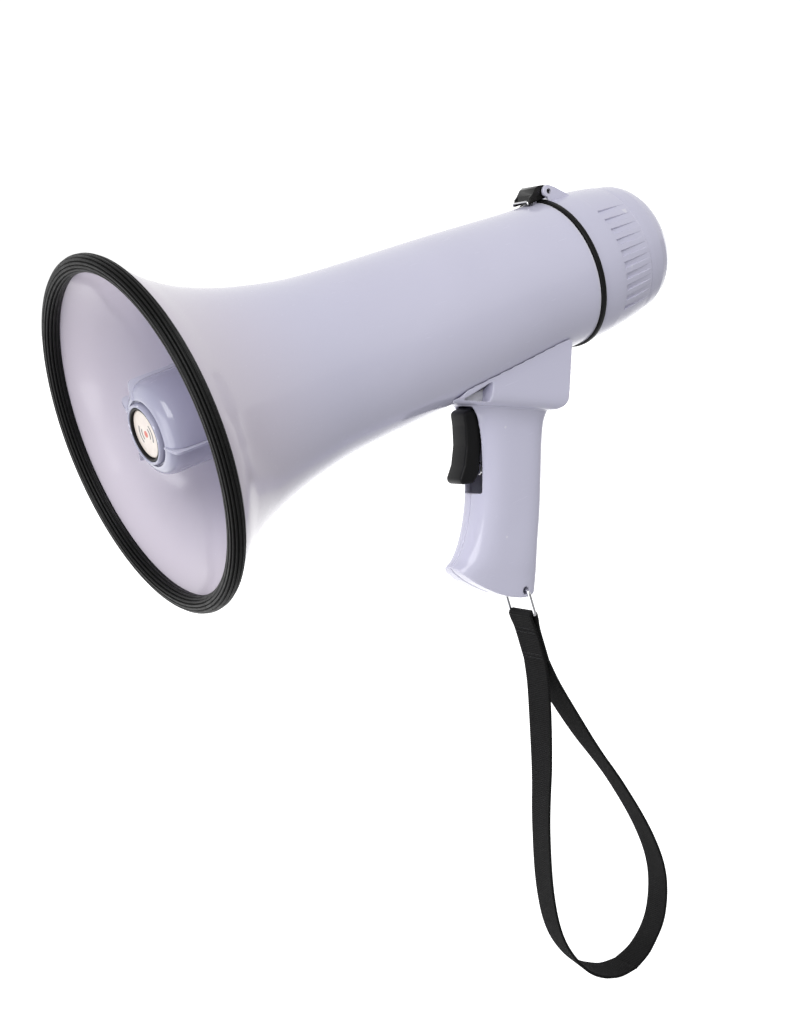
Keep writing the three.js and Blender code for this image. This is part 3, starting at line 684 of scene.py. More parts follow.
# ---- back plate, throat and driver -----------------------------------------------------
plate_edge = bore_at(-98.5) - 0.75
TURNED = {
    # piece: (finish, body, slot, node, corner radius, loop)
    "back_plate": ("plain", "main", "shell", "bell_back_plate", 0.4, [
        (-98.5, 9.2), (-96.2, 9.2), (-96.2, plate_edge), (-98.5, plate_edge)]),
    "throat": ("plain", "main", "shell", "throat_tube", 0.5, [
        (-95.8, 8), (-22, 11), (-22, 13), (-90, 10.4), (-93.6, 11.4), (-93.6, 17.5),
        (-95.8, 17.5)]),
    "driver_flange_skin": ("ferrite", "main", "ferrite", "driver_flange", 0.4, [
        (-101.2, 5.0), (-98.9, 9.0), (-98.9, 19.2), (-101.0, 19.2), (-101.0, 33.6),
        (-103.2, 33.6), (-103.2, 28.4), (-102.3, 26.6)]),
    "diaphragm_skin": ("film", "main", "film", "diaphragm", 0.3, [
        (-103.0, 0), (-102.5, 0), (-103.1, 8), (-104.3, 12.4), (-103.5, 18), (-103.6, 28.0),
        (-104.0, 28.0), (-104.0, 18), (-105.0, 12.9), (-104.9, 11.9), (-103.6, 7.8)]),
    "voice_coil_skin": ("brass", "main", "brass", "voice_coil", 0.15, [
        (-112, 12.0), (-105.4, 12.0), (-105.4, 12.8), (-112, 12.8)]),
    "top_plate": ("steel", "main", "steel", "driver_top_plate", 0.5, [
        (-108.8, 13.2), (-105.4, 13.2), (-105.4, 28), (-108.8, 28)]),
    "magnet": ("ferrite", "main", "ferrite", "driver_magnet", 0.7, [
        (-121, 15.5), (-109.2, 15.5), (-109.2, 31), (-121, 31)]),
    "yoke": ("steel", "main", "steel", "driver_yoke", 0.6, [
        (-127, 0), (-105.6, 0), (-106.2, 6), (-106.2, 11.5), (-121.4, 11.5), (-121.4, 28),
        (-127, 26)]),
    "gasket": ("rubber", "rear_unit", "rubber", "barrel_gasket", 0.6, [
        (-251.35, 36.15), (-248.65, 36.15), (-248.65, 39.95), (-251.35, 39.95)]),
}
for name, (finish, body, slot, node, radius, loop) in TURNED.items():
    dress(turned(name, loop, 180 if name == "gasket" else 96, radius=radius), finish, body,
          slot, node)

CELL_RADIUS, CELL_LONG, CELL_OFFSET = 13.1, 49.5, 13.7


def cell_look():
    """A dry cell in a plain printed wrap with bare steel ends."""
    n = Nodes("cell_wrap")
    geometry = n.add("ShaderNodeNewGeometry")
    ends = n.span(n.math("ABSOLUTE", n.split(geometry.outputs["Normal"])["X"]), 0.6, 0.7)
    wrap = n.mix(n.span(n.noise(40, 3), 0.3, 0.7), "44536b", "52627c")
    rough = n.span(n.noise(300, 2), 0.3, 0.7, 0.22, 0.36, smooth=False)
    return n.output(Base_Color=n.mix(ends, wrap, "b9bbbf"), Roughness=rough, Metallic=ends,
                    Normal=n.bump(n.noise(1, 3, where=n.scaled((900, 200, 200))), 0.00001))


cell_finish = cell_look()
quarters = [(1, 1), (-1, 1), (-1, -1), (1, -1)]
for layer, x in enumerate((-138.2, -191.3)):
    for i, (sy, sz) in enumerate(quarters):
        a, b = x - CELL_LONG, x
        if (i + layer) % 2:
            loop = [(a, 0), (b, 0), (b, 4.5), (b - 1.5, 4.5), (b - 1.5, CELL_RADIUS),
                    (a, CELL_RADIUS)]
        else:
            loop = [(a, 0), (b, 0), (b, CELL_RADIUS), (a + 1.5, CELL_RADIUS), (a + 1.5, 4.5),
                    (a, 4.5)]
        index = layer * 4 + i + 1
        dress(turned(f"dry_cell_{index}", loop, 64, sy * CELL_OFFSET, sz * CELL_OFFSET, 0.6),
              cell_finish, "main", "cell", f"cell_{index}")


def board_look():
    """Green board with paler traces and bare pads."""
    n = Nodes("board_green")
    lines = n.span(n.noise(420, 0), 0.52, 0.54)
    colour = n.mix(lines, "1d5233", "2c6e48")
    pads = n.span(n.noise(700, 0), 0.72, 0.74)
    return n.output(Base_Color=n.mix(pads, colour, "b5a069"), Roughness=0.4,
                    Normal=n.bump(lines, 0.00003))


def keep(node, finish):
    """A CAD node that stays shown, with a worked-up material."""
    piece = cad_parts[node]
    piece.data.materials.clear()
    piece.data.materials.append(look[finish] if isinstance(finish, str) else finish)


for node in ("contact_front_upper", "contact_front_lower", "contact_rear_link",
             "terminal_plus", "terminal_minus"):
    keep(node, "brass")
keep("battery_tray", "satin")
keep("trigger_switch", "satin")
keep("amplifier_board", board_look())
keep("amplifier_heat_sink", "steel")

# ---- rear unit -------------------------------------------------------------------------
HOUSING = [(-251.7, 38.7), (-263, 38.6), (-268, 38.2), (-275, 37.5), (-281.7, 36.6),
           (-286, 35.9)]
FLUTES, FLUTE_STEP, FLUTE_TOP = 10, 9.2, 41.4
FLUTE_HALF, FLUTE_DEEP, FLUTE_START, FLUTE_END = 1.5, 1.35, -266.5, -285.6
flute_angles = [a for i in range(FLUTES) for a in (FLUTE_TOP - i * FLUTE_STEP,
                                                    180 - FLUTE_TOP + i * FLUTE_STEP)]


def fluted(x, r, angle):
    """Radius of the housing where the finger flutes are cut into it."""
    if r < 35.7 or not FLUTE_END < x <= FLUTE_START:
        return r
    degrees = math.degrees(angle)
    away = min(abs((degrees - a + 180) % 360 - 180) for a in flute_angles)
    t = min(max((FLUTE_HALF + 0.17 - math.radians(away) * r) / 0.34, 0), 1)
    along = min((FLUTE_START - x) / 0.7, 1)
    fade = min((x - FLUTE_END) / (FLUTE_START - FLUTE_END), 1)
    return r - FLUTE_DEEP * t * t * (3 - 2 * t) * math.sqrt(along) * fade ** 0.8


WALL_STEPS = (0, 1.2, 1.37, 1.45, 1.53, 1.61, 1.69, 1.85)     # across half a flute


def housing_mesh():
    """The fluted housing, with its rows and columns close together at the flutes' edges."""
    run = spline(HOUSING, 8)
    run = [p for p in run if not -267.6 < p[0] < -266.0]
    run += [(x, 38.6 - 0.4 * max(0, (-263 - x)) / 5 * 0.95) for x in (
        -266.1, -266.4, -266.5, -266.6, -266.75, -266.9, -267.1, -267.4)]
    run = sorted(run, reverse=True)
    walls = []
    for a in flute_angles:
        walls += [math.radians(a) + side * k / 38 for side in (-1, 1) for k in WALL_STEPS]
    angles = {round(a % (2 * math.pi), 5) for a in walls}
    for i in range(150):
        a = math.radians(i * 2.4)
        if min(abs((a - w + math.pi) % (2 * math.pi) - math.pi) for w in walls) > 0.02:
            angles.add(round(a, 5))
    angles = sorted(angles)
    loop = [(-251.7, 38.3), (-251.85, 38.55)] + [p for p in run if p[0] < -252] + [
        (-286.1, 35.6), (-286, 33.6), (-281.7, 34.2), (-263, 36.1), (-255.5, 36.1),
        (-254, 33.5), (-239, 33.5), (-239, 35.5), (-239.3, 35.7), (-251.7, 35.7)]
    return turned_mesh(loop, angles, shape=fluted)


ear = [(-251.9, 36.4, 0), (-251.9, 39.8), (-250.2, 41.6)]
for angle in range(-10, 101, 10):
    ear.append((PIN_AT[0] + 3.4 * math.cos(math.radians(angle)),
                PIN_AT[1] + 3.4 * math.sin(math.radians(angle)), 0))
ear += [(-257.5, 43.9, 3), (-266, 37.0, 2), (-266, 36.4, 0)]
ear = rounded(ear, 0.8)
ears = temp(merge(prism_mesh(ear, 7.9, 9.9, 0.45), prism_mesh(ear, -9.9, -7.9, 0.45)))
combine(ears, "DIFFERENCE", temp(rod_mesh(*crosswise(PIN_AT, 12), PIN_HOLE, 32)))
dress(creased(ears, "latch_ears", 35), "plain", "rear_unit", "shell")
dress(finish_mesh(housing_mesh(), "rear_housing_skin", sharp=30), "plain", "rear_unit",
      "shell", "rear_housing")

MIC_AT, KNOB_AT, SIREN_AT = (0, 9), (-12, -13), (12, -13)
SLOT_REACH, SLOT_STEP, SLOT_HALF = 9.5, 3.6, 0.8
cap_loop = rounded([(-286.4, 35.1), (-290, 34.9), (-296, 33.9), (-300.5, 31.9), (-303.8, 29.2),
                    (-305.6, 26.0), (-305.6, 0, 0), (-303.3, 0, 0), (-303.3, 24.6),
                    (-301.6, 28), (-295, 31.7), (-286.4, 32.8)], 3.0, 5)
cap = turned("rear_cap_skin", cap_loop, 144)
cutters = []
for i in range(-2, 3):
    half = math.sqrt(SLOT_REACH ** 2 - (i * SLOT_STEP) ** 2)
    level = MIC_AT[1] + i * SLOT_STEP
    slot = rounded([(MIC_AT[0] + across_slot * half, level + above * SLOT_HALF)
                    for across_slot, above in ((-1, -1), (1, -1), (1, 1), (-1, 1))], 0.75)
    bm = prism_mesh(slot, -5, 5)
    bmesh.ops.transform(bm, matrix=Matrix.Translation((-304.5, 0, 0))
                        @ Matrix.Rotation(math.pi / 2, 4, "Z") @ Matrix.Scale(-1, 4, (1, 0, 0)),
                        verts=bm.verts)
    bmesh.ops.recalc_face_normals(bm, faces=bm.faces)
    cutters.append(temp(bm))
for (y, z), radius in ((KNOB_AT, 2.0), (SIREN_AT, 5.4)):
    cutters.append(temp(rod_mesh((-308, y, z), (-301, y, z), radius, 64)))
combine(cap, "DIFFERENCE", *cutters)
dress(creased(cap, "rear_cap_skin", 35), "plain", "rear_unit", "shell", "rear_cap")

foam = turned("microphone_foam_disc", [(-302.9, 0), (-300.4, 0), (-300.4, 10.2),
                                       (-302.9, 10.2)], 48, *MIC_AT, radius=0.7)
dress(foam, "foam", "rear_unit", "foam", "microphone_foam")
dress(turned("microphone_can", [(-300, 0), (-292.5, 0), (-292.5, 4.9), (-300, 4.9)], 48,
             *MIC_AT, radius=0.5), "steel", "rear_unit", "steel", "microphone_capsule")

KNOB_RIDGES, RIDGE_DEEP = 24, 0.18
knob = turned_mesh(rounded([(-313.5, 0, 0), (-306, 0, 0), (-306, 6.3), (-306.9, 6.3),
                            (-312.6, 5.9), (-313.5, 5.1)], 0.3), 192, *KNOB_AT)
for v in knob.verts:
    y, z = v.co.y - KNOB_AT[0], v.co.z - KNOB_AT[1]
    r = math.hypot(y, z)
    if r > 5.0 and v.co.x < -306.7:
        grow = r + RIDGE_DEEP * math.cos(KNOB_RIDGES * math.atan2(z, y))
        v.co.y, v.co.z = KNOB_AT[0] + y * grow / r, KNOB_AT[1] + z * grow / r
merge(knob, turned_mesh([(-306.5, 0), (-297.4, 0), (-297.4, 1.5), (-306.5, 1.5)], 32, *KNOB_AT))
dress(finish_mesh(knob, "volume_knob_skin"), "satin", "volume_knob", "black", "volume_knob")
pointer = prism_mesh([(0, 0), (0.7, 0), (0.7, 4.4), (0, 4.4)], -0.5, 0.5, 0.12)
bmesh.ops.translate(pointer, vec=(-314.0, KNOB_AT[0], KNOB_AT[1] + 1.6), verts=pointer.verts)
dress(finish_mesh(pointer, "knob_pointer"), "film", "volume_knob", "cream")
dress(turned("volume_pot", [(-302.8, 2.0), (-295.5, 2.0), (-295.5, 0), (-294, 0), (-294, 8),
                            (-302.8, 8)], 64, *KNOB_AT, radius=0.3), "steel", "rear_unit",
      "steel", "volume_control")
dress(turned("siren_button_skin", [(-309.2, 0), (-300, 0), (-300, 6.6), (-302.6, 6.6),
                                   (-302.6, 5.0), (-309.2, 5.0)], 72, *SIREN_AT, radius=0.8),
      "gloss", "siren_button", "black", "siren_button")
dress(turned("siren_switch_can", [(-296.6, 0), (-291.8, 0), (-291.8, 5.6), (-296.6, 5.6)], 48,
             *SIREN_AT, radius=0.5), "steel", "rear_unit", "steel", "siren_switch")

LEVER = [(-256.7, 42.4), (-256.2, 44.6), (-254.6, 45.9), (-252.6, 46.5), (-250.0, 46.9),
         (-247.9, 46.3), (-244.9, 43.6), (-242.4, 40.9), (-241.0, 39.9), (-241.0, 39.3, 0.2),
         (-244.2, 39.3, 0.2), (-244.2, 41.7, 0.4), (-248.4, 41.7, 0.4), (-248.4, 40.5, 0.3),
         (-252, 40.5, 0.6), (-254.6, 39.8), (-256.2, 40.8)]
CHEEK = [(-241.6, 39.5), (-243.0, 42.6), (-248.4, 45.6), (-254.6, 45.0), (-256.3, 42.4),
         (-255.6, 40.3), (-251.8, 39.75), (-247.6, 39.5)]
lever = temp(prism_mesh(rounded(LEVER, 1.1, 3), -7.2, 7.2, 0.7, 4))
cheeks = [temp(prism_mesh(rounded(CHEEK, 0.8, 4), *sorted((side * 5.6, side * 7.15)), 0.3))
          for side in (1, -1)]
combine(lever, "UNION", *cheeks)
combine(lever, "DIFFERENCE",
        temp(rod_mesh(*crosswise(PIN_AT, 9), PIN_HOLE, 32)),
        temp(prism_mesh([(-238, 39), (-243.2, 39), (-243.2, 40.5), (-238, 40.5)], -4.6, 4.6, 0.6)))
dress(creased(lever, "latch_lever_skin", 38), "gloss", "latch", "black", "latch_lever")
TIP_X, TIP_HALF = -241.1, 6.5
lip = [(TIP_X, y, z) for y, z in ((-TIP_HALF, 39.4), (-TIP_HALF, 40.2), (-TIP_HALF + 0.3, 40.75),
                                  (-TIP_HALF + 1.0, 41.0), (TIP_HALF - 1.0, 41.0),
                                  (TIP_HALF - 0.3, 40.75), (TIP_HALF, 40.2), (TIP_HALF, 39.4))]
dress(finish_mesh(swept_mesh(lip, 0.45, 12, closed=False), "latch_lip"), "chrome", "latch",
      "steel")


def pin(name, start, end, radius, body, node, finish="steel"):
    """A round pin with eased ends."""
    bm = rod_mesh(start, end, radius, 40)
    rims = [e for e in bm.edges if any(len(f.verts) > 4 for f in e.link_faces)]
    bmesh.ops.bevel(bm, geom=rims, offset=0.25, segments=3, profile=0.5, affect="EDGES")
    dress(finish_mesh(bm, name), finish, body, "steel", node)


pin("latch_pin_skin", *crosswise(PIN_AT, 8.9), 1.05, "rear_unit", "latch_pin", "satin")

# ---- handle ------------------------------------------------------------------------------
SECTIONS = [                       # grip sections: height, back, front, half width
    (34, -5, 46, 23.5), (29, -4.8, 44.5, 21), (24.5, -4.4, 42, 17.5), (19, -4, 39.2, 14.8),
    (8, -4.1, 36.6, 13.7), (-8, -4.6, 34.8, 13.6), (-26, -5.2, 34.2, 13.4), (-42, -5.2, 36.4, 13),
    (-53, -5.7, 40.5, 12.4), (-61, -6.3, 46.5, 11.2), (-74, -6.4, 47, 9.6),
]
BACK_POWER, FRONT_POWER = 0.56, 0.72    # squarer at the back than at the front
GRIP_SIDE = [(-8, 36), (-8, -64), (-6.2, -67.4), (-4, -69.8), (-0.4, -71.4), (5, -71.9),
             (12.5, -71.4), (20, -69.9), (28, -67.2), (35, -64.2), (41, -60.6), (45.2, -57),
             (46.4, -54.6), (44, -52), (60, -40), (60, 36)]
BRACKET_SIDE = [(-6.5, 31.4, 0), (-5.2, 28.2), (-2.2, 26), (2, 25.5, 0), (64.8, 25.5, 0.6),
                (58.8, 28.4, 3), (54, 35, 4), (50, 62, 0), (-6.5, 62, 0)]
BRACKET_END = [(-26, 62, 0), (-26, 25.5, 8.5), (26, 25.5, 8.5), (26, 62, 0)]
PIVOT = (27, 20.5)
BOSSES = [(9, -46, 12.5, 10.7), (8.5, 8, 12.5, 10.7), (0, 37, 24.5, 23)]
SADDLE_X = -205
PARTING = 0.12                     # half the gap of the parting line
SCREW_HOLE, HEAD_HOLE, BOSS_RADIUS = 1.85, 3.3, 4.5
PIVOT_HOLE, EYE_HOLE = 1.8, 2.0


def grip_mesh(inset, high, low, sides=56):
    """The grip's lofted body between two heights."""
    rows = []
    bm = bmesh.new()
    backs, fronts, halves = (spline([(s[0], s[i]) for s in SECTIONS], 6) for i in (1, 2, 3))
    for (up, back), (_, ahead), (_, half) in zip(backs, fronts, halves):
        if not low <= up <= high:
            continue
        middle, reach = (back + ahead) / 2, (ahead - back) / 2 - inset
        row = []
        for i in range(sides):
            c, s = math.cos(2 * math.pi * i / sides), math.sin(2 * math.pi * i / sides)
            power = BACK_POWER if c < 0 else FRONT_POWER
            row.append(bm.verts.new((middle + reach * math.copysign(abs(c) ** power, c),
                                     (half - inset) * math.copysign(abs(s) ** power, s), up)))
        rows.append(row)
    return skin_rows(bm, rows)


def grip_rod(point, y0, y1, radius):
    """A round bar across the grip."""
    return temp(turn_grip(rod_mesh((point[0], y0, point[1]), (point[0], y1, point[1]), radius)))


def grip_solid(bm):
    return temp(turn_grip(bm))


def grip_plate(profile, radius, half, steps=4):
    """A side profile in grip coordinates, its corners rounded, as wide as twice half."""
    return grip_solid(prism_mesh(rounded(profile, radius, steps), -half, half))


def end_prism():
    """The bracket's rounded section, seen along the grip's forward axis."""
    bm = prism_mesh(rounded(BRACKET_END, 8.5, 8), -90, 30)
    turn = Matrix.Rotation(math.pi / 2, 4, "Z")
    bmesh.ops.transform(bm, matrix=turn, verts=bm.verts)
    bmesh.ops.recalc_face_normals(bm, faces=bm.faces)
    return bm


SEAT_LOOP = [(-100, 0)] + [(x, r + SLACK) for x, r in outside if x < -96] + [
    (-268, 38.7 + SLACK), (-268, 0)]


def handle_half(name, sign):
    """One half of the bracket and grip; sign is +1 for the left half and -1 for the right."""
    whole = grip_plate(BRACKET_SIDE, 3, 40)
    combine(whole, "INTERSECT", grip_solid(end_prism()))
    grip = grip_solid(grip_mesh(0, 34, -74))
    combine(grip, "INTERSECT", grip_plate(GRIP_SIDE, 4, 30))
    combine(whole, "UNION", grip)
    # room under the barrel, the hollow, the opening for the web and the slot for the trigger
    cutters = [grip_solid(box_mesh(-4.1, 38.2, -23.6, 23.6, 31.5, 70)),
               grip_solid(grip_mesh(WALL, 26.4, -53)),
               grip_plate([(57.4, 27.3), (41.2, 37.6), (41.2, 27.3)], 0.5, 40),
               grip_solid(box_mesh(27, 60, -7.6, 7.6, -19, 25))]
    combine(whole, "DIFFERENCE", *cutters)
    for forward, up, half, _ in BOSSES:
        boss = grip_rod((forward, up), -half, half, BOSS_RADIUS)
        if up < 20:
            combine(boss, "INTERSECT", grip_solid(grip_mesh(0.6, 34, -74)))
        combine(whole, "UNION", boss)
    for forward, up, _, head in BOSSES:
        combine(whole, "DIFFERENCE", grip_rod((forward, up), -40, 10.5, SCREW_HOLE),
                grip_rod((forward, up), -40, -head, HEAD_HOLE))
    combine(whole, "DIFFERENCE", grip_rod(PIVOT, -12.4, 12.4, PIVOT_HOLE),
            grip_rod(EYE_AT, -20, 20, EYE_HOLE))
    combine(whole, "DIFFERENCE", temp(turned_mesh(SEAT_LOOP, 180)),
            temp(box_mesh(-300, 0, -60, 60, -28, 60)),
            temp(box_mesh(-400, 100, *sorted((-sign * 80, sign * PARTING)), -200, 50)))
    resurface(whole, 0.5, 7)
    whole.name = name
    return dress(whole, "plain", "main", "shell", "handle_left" if sign > 0 else "handle_right")


handle_half("handle_left_skin", 1)
handle_half("handle_right_skin", -1)
# the web is painted near-white: painted light standing in for the light seen through the bracket's
# window, though it sits in shade
web = grip_plate([(57.6, 27.1), (41.0, 37.8), (41.0, 27.1)], 0.5, 17)
combine(web, "DIFFERENCE", temp(turned_mesh(SEAT_LOOP, 180)))
web.name = "bracket_web"
dress(web, moulded("web_painted_bright", "f6f6f8", "fbfbfc", "fdfdfd", 0.3, 0.4),
      "main", "shell")

TRIGGER = [(23.4, 23.8), (40.6, 24), (45.2, 21.8), (43.6, 15), (42.4, 5), (43.0, -5),
           (45.4, -12.6), (43.2, -15), (36.2, -13.6), (33.6, -8), (33.2, 8), (31, 14.5),
           (27.5, 16), (24, 17.2)]
trigger = temp(turn_grip(prism_mesh(rounded(TRIGGER, 3.5, 5), -6.8, 6.8, 1.3, 4)))
combine(trigger, "DIFFERENCE", grip_rod(PIVOT, -9, 9, PIVOT_HOLE))
dress(creased(trigger, "trigger_skin", 38), "satin", "trigger", "black", "trigger")
pin("trigger_pin_skin", from_grip(*PIVOT, -11.9), from_grip(*PIVOT, 11.9), 1.4, "main",
    "trigger_pin")

SPRING_AT, SPRING_LONG, SPRING_RADIUS, SPRING_WIRE, SPRING_TURNS = (20.6, -6), 11.6, 3.2, 0.4, 5
STEPS = 160
coil = []
for i in range(STEPS + 1):
    t = i / STEPS
    a = t * SPRING_TURNS * 2 * math.pi
    coil.append(from_grip(SPRING_AT[0] + SPRING_LONG * t, SPRING_AT[1] + SPRING_RADIUS * math.sin(a),
                          SPRING_RADIUS * math.cos(a)))
spring = dress(finish_mesh(swept_mesh(coil, SPRING_WIRE, 10, closed=False), "trigger_spring_wire"),
               "chrome", "main", "steel", "trigger_spring")
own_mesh(spring)


def screw(name, start, direction, shank, node):
    """A cross-head screw: head at its start, shank along its direction."""
    bm = turned_mesh(rounded([(-1.6, 0, 0), (shank, 0, 0), (shank, 1.2), (shank - 1, 1.5),
                              (0, 1.5, 0), (0, 2.8), (-0.9, 2.8), (-1.6, 1.9)], 0.5), 40)
    head = temp(bm)
    combine(head, "DIFFERENCE", temp(box_mesh(-2, -0.9, -0.35, 0.35, -1.9, 1.9)),
            temp(box_mesh(-2, -0.9, -1.9, 1.9, -0.35, 0.35)))
    turn = Vector((1, 0, 0)).rotation_difference(Vector(direction)).to_matrix().to_4x4()
    head.data.transform(Matrix.Translation(at(*start)) @ turn @ Matrix.Translation(-RIM_AT))
    dress(creased(head, name, 30), "steel", "main", "steel", node)


def around(angle, radius, x):
    """A point on a circle round the horn's axis."""
    a = math.radians(angle)
    return (x, radius * math.cos(a), radius * math.sin(a))


for i, (low, high) in enumerate(LOBES):
    screw(f"hub_fixing_{i + 1}", around((low + high) / 2, 22.6, -98.9), (1, 0, 0), 12,
          f"hub_screw_{i + 1}")
for i, angle in enumerate((90, 210, 330)):
    screw(f"plate_fixing_{i + 1}", around(angle, 38.6, -95.8), (-1, 0, 0), 8,
          f"plate_screw_{i + 1}")
for side, y in (("left", 12), ("right", -12)):
    screw(f"saddle_fixing_{side}", (SADDLE_X, y, -34.4), (0, 0, -1), 16, f"saddle_screw_{side}")
for i, (forward_at, up, half, head) in enumerate(BOSSES):
    screw(f"handle_fixing_{i + 1}", from_grip(forward_at, up, -head - 0.3), (0, 1, 0), head + 8,
          f"handle_screw_{i + 1}")

# ---- ring and strap ------------------------------------------------------------------------
eye = from_grip(*EYE_AT)
ring = []
for corner, (sy, sz) in enumerate(((1, 1), (1, -1), (-1, -1), (-1, 1))):
    for i in range(9):
        a = math.radians(90 - corner * 90 - i * 90 / 8)
        below = -RING_ROUND if sz > 0 else RING_ROUND - RING_DROP
        ring.append((eye[0], sy * (RING_HALF - RING_ROUND) + RING_ROUND * math.cos(a),
                     eye[2] + below + RING_ROUND * math.sin(a)))
dress(finish_mesh(swept_mesh(ring, RING_WIRE, 18), "strap_ring_wire"), "chrome", "strap_ring",
      "steel", "strap_ring")

STRAP_HALF = [(0.95, -26), (4.5, -44), (15, -78), (28, -112), (37, -146), (38, -172),
              (29, -194), (14, -206), (0, -209.5)]
STRAP_WIDE, STRAP_THICK, RIB_PITCH, RIB_HIGH = 19.4, 1.5, 1.05, 0.11
YARN_PITCH = 0.00062               # metres


def strap_line():
    """The middle of the webbing, from the stitched tab round the loop and back."""
    down = spline(STRAP_HALF, 14)
    tab = [(1.9, -0.4), (1.7, -3.0), (1.2, -6.0), (0.95, -10.0), (0.95, -18.0)]
    over = [(1.95 * math.cos(math.radians(a)), 1.95 * math.sin(math.radians(a)))
            for a in range(90, 5, -12)]
    half = over + spline(tab, 4) + down
    return [(-x, z) for x, z in reversed(half)][:-1] + half


def resample(loop, step):
    """Points evenly spaced round a closed line, and its length."""
    points = loop + loop[:1]
    lengths = [0.0]
    for a, b in zip(points, points[1:]):
        lengths.append(lengths[-1] + math.dist(a, b))
    count = round(lengths[-1] / step)
    out, j = [], 0
    for i in range(count):
        s = lengths[-1] * i / count
        while j < len(points) - 2 and lengths[j + 1] < s:
            j += 1
        t = (s - lengths[j]) / max(lengths[j + 1] - lengths[j], 1e-9)
        out.append(tuple(p + (q - p) * t for p, q in zip(points[j], points[j + 1])))
    return out, lengths[-1]


def strap_mesh():
    """The ribbed webbing, a little twisted and swayed below the tab, and its length."""
    stations, length = resample(strap_line(), RIB_PITCH / 6)
    count = len(stations)
    ribs = round(length / RIB_PITCH)
    bm = bmesh.new()
    thread = bm.verts.layers.float_vector.new("thread")
    places = [-1, -0.985, -0.955, -0.9, -0.6, -0.3, 0, 0.3, 0.6, 0.9, 0.955, 0.985, 1]
    thick = [0.45, 0.78, 0.98, 1, 0.96, 0.96, 0.96, 0.96, 0.96, 1, 0.98, 0.78, 0.45]
    rows = []
    for i, (x, z) in enumerate(stations):
        ax, az = stations[i - 2]
        bx, bz = stations[(i + 2) % count]
        flat = math.hypot(bx - ax, bz - az)
        nx, nz = -(bz - az) / flat, (bx - ax) / flat
        depth = min(max((-z - 30) / 90, 0), 1)
        depth = depth * depth * (3 - 2 * depth)
        side = 1 if x > 0 else -1
        turn = 0.16 * depth * side * min(abs(x) / 20, 1)
        sway = 2.2 * depth * math.sin(x / 30)
        wave = math.cos(2 * math.pi * i * ribs / count)
        row = []
        for face in (1, -1):
            for y, t in zip(places if face > 0 else reversed(places), thick):
                lift = face * STRAP_THICK / 2 * t + wave * (
                    RIB_HIGH if abs(y) < 0.97 else face * 0.04)
                wide = y * STRAP_WIDE / 2 * (1 + (0.004 * wave if abs(y) > 0.95 else 0))
                px = x + nx * lift + wide * turn * nx
                pz = z + nz * lift + wide * turn * nz
                v = bm.verts.new((eye[0] + px, wide + sway, eye[2] - RING_DROP + pz))
                v[thread] = (i * length / count * MM, wide * MM, face)
                row.append(v)
        rows.append(row)
    return skin_rows(bm, rows, endless=True), length


def webbing_look():
    """Black ribbed webbing: lengthwise yarns over cross ribs, duller and greyer on the crests."""
    n = Nodes("webbing_black")
    thread = n.add("ShaderNodeAttribute", attribute_name="thread").outputs["Vector"]
    apart = n.split(thread)
    along = n.math("MULTIPLY", apart["X"], 2 * math.pi / (RIB_PITCH * MM))
    row = n.math("ROUND", n.math("DIVIDE", apart["X"], RIB_PITCH * MM))
    lean = n.math("MULTIPLY", n.math("MODULO", row, 2.0), math.pi)
    yarn = n.math("ADD", n.math("MULTIPLY", apart["Y"], 2 * math.pi / YARN_PITCH), lean)
    over = n.math("MULTIPLY_ADD", n.math("SINE", yarn), 0.5, 0.5)
    crest = n.math("MULTIPLY_ADD", n.math("COSINE", along), 0.5, 0.5)
    weave = n.math("MULTIPLY", over, n.math("MULTIPLY_ADD", crest, 0.7, 0.3))
    fibre = n.noise(5200, 3, 0.7)
    shade = n.math("MULTIPLY", weave, n.span(fibre, 0.2, 0.8, 0.7, 1.2))
    patch = n.span(n.noise(70, 3, 0.6), 0.35, 0.75)
    colour = n.mix(shade, "020202", "0d0d0f")
    colour = n.mix(n.math("MULTIPLY", patch, 0.3), colour, "131315")
    fuzz = n.bump(fibre, 0.00004)
    return n.output(Base_Color=colour, Roughness=n.span(weave, 0, 1, 0.9, 0.68, smooth=False),
                    Normal=n.bump(weave, 0.00014, below=fuzz), Sheen_Weight=0.02,
                    Sheen_Roughness=0.5, Specular_IOR_Level=0.18)


bm, strap_length = strap_mesh()
strap = dress(finish_mesh(bm, "webbing_loop", sharp=0), webbing_look(), "wrist_strap", "webbing",
              "wrist_strap")


SEAMS = (7.2, 9.4, 22.0, 24.2)     # below the ring
STITCHES, STITCH_STEP = 9, 1.9


def stitches():
    """Rows of thread across the tab, through both plies, on each of its faces."""
    bm = bmesh.new()
    for face in (1, -1):
        for depth in SEAMS:
            out = face * (1.72 if depth > 12 else 2.0)
            for i in range(STITCHES):
                y = (i - (STITCHES - 1) / 2) * STITCH_STEP
                z = eye[2] - RING_DROP - depth + (0.15 if i % 2 else -0.15)
                path = [(eye[0] + out - face * 0.35, y - 0.75, z), (eye[0] + out, y - 0.5, z),
                        (eye[0] + out + face * 0.05, y, z), (eye[0] + out, y + 0.5, z),
                        (eye[0] + out - face * 0.35, y + 0.75, z)]
                merge(bm, swept_mesh(spline(path, 3), 0.22, 8, closed=False))
    return bm


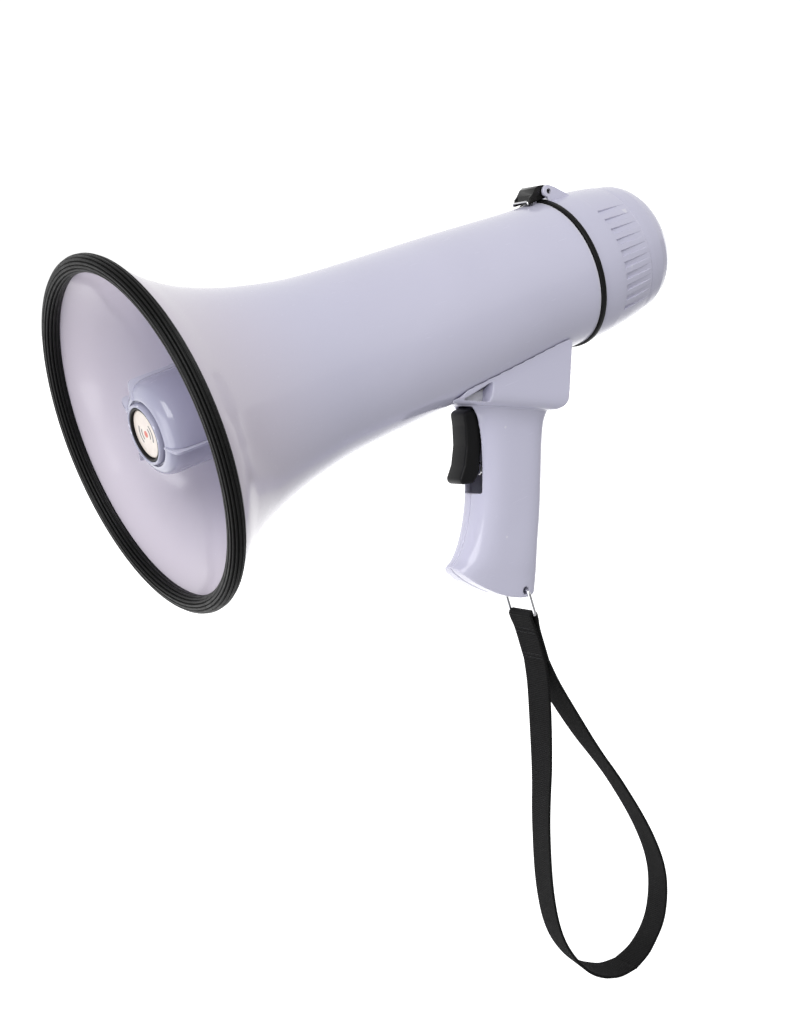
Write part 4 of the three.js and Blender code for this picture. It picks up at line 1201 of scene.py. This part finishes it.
thread_look = dusty("thread_black", "0c0c0d", "232326", 0.6, 0.8, 2400, 0.00004)
seams = dress(finish_mesh(stitches(), "tab_stitches", clean=False), thread_look, "wrist_strap",
              "webbing")

# ---- surround, lights and floor --------------------------------------------------------------
SURROUND = (-0.85, 0.30, 0.88, 0.51)    # from behind the object to behind the camera; brightness
CEILING = (0.25, 0.90, 0.0, -0.12)      # towards straight up; change of brightness
LIGHTS = [                         # name, place, aim, width and height in metres, watts
    ("side", (0.9, 1.5, 1.5), (0, 0, 0.05), 1.5, 24),
    ("front", (1.5, 0.05, -0.1), (0.1, 0, 0.1), 1.3, 8),
]
FLOOR_GLOW_TO_SHADE = (-1.9, -0.1)                # metres along Y, from the glowing near-white floor to light grey painted shade under the object

cove = Nodes("studio", world=True)
scene.world = cove.output(Color=(1, 1, 1), Strength=cove.math(
    "ADD", cove.span(cove.dot(CAMERA_BACK), *SURROUND), cove.span(cove.dot((0, 0, 1)), *CEILING)))

for name, place, aim, size, power in LIGHTS:
    data = bpy.data.lights.new(name, "AREA")
    data.size = size
    data.energy = power
    lamp = bpy.data.objects.new(name, data)
    scene.collection.objects.link(lamp)
    lamp.location = place
    lamp.rotation_mode = "QUATERNION"
    lamp.rotation_quaternion = (Vector(place) - Vector(aim)).to_track_quat("Z", "Y")

bm = bmesh.new()
bmesh.ops.create_circle(bm, cap_ends=True, segments=96, radius=FLOOR_RADIUS)
floor_mesh = bpy.data.meshes.new("floor")
bm.to_mesh(floor_mesh)
bm.free()
floor = bpy.data.objects.new("floor", floor_mesh)
scene.collection.objects.link(floor)
floor.location = (0, 0, FLOOR_Z)
# painted light and shade: beyond the object the floor glows white by emission; under and in front of
# it the floor is grey with no glow
n = Nodes("floor_pale")
fade = n.span(n.dot((0, 1, 0)), *FLOOR_GLOW_TO_SHADE)
grain = n.noise(0.6, 2)
floor.data.materials.append(n.output(
    Base_Color=n.mix(fade, n.mix(grain, (0.95, 0.95, 0.955), (0.97, 0.97, 0.975)),
                     n.mix(grain, (0.52, 0.52, 0.53), (0.54, 0.54, 0.55))),
    Roughness=0.9, Emission_Strength=0.75,
    Emission_Color=n.mix(fade, (1.0, 1.0, 1.0), (0.02, 0.02, 0.02))))
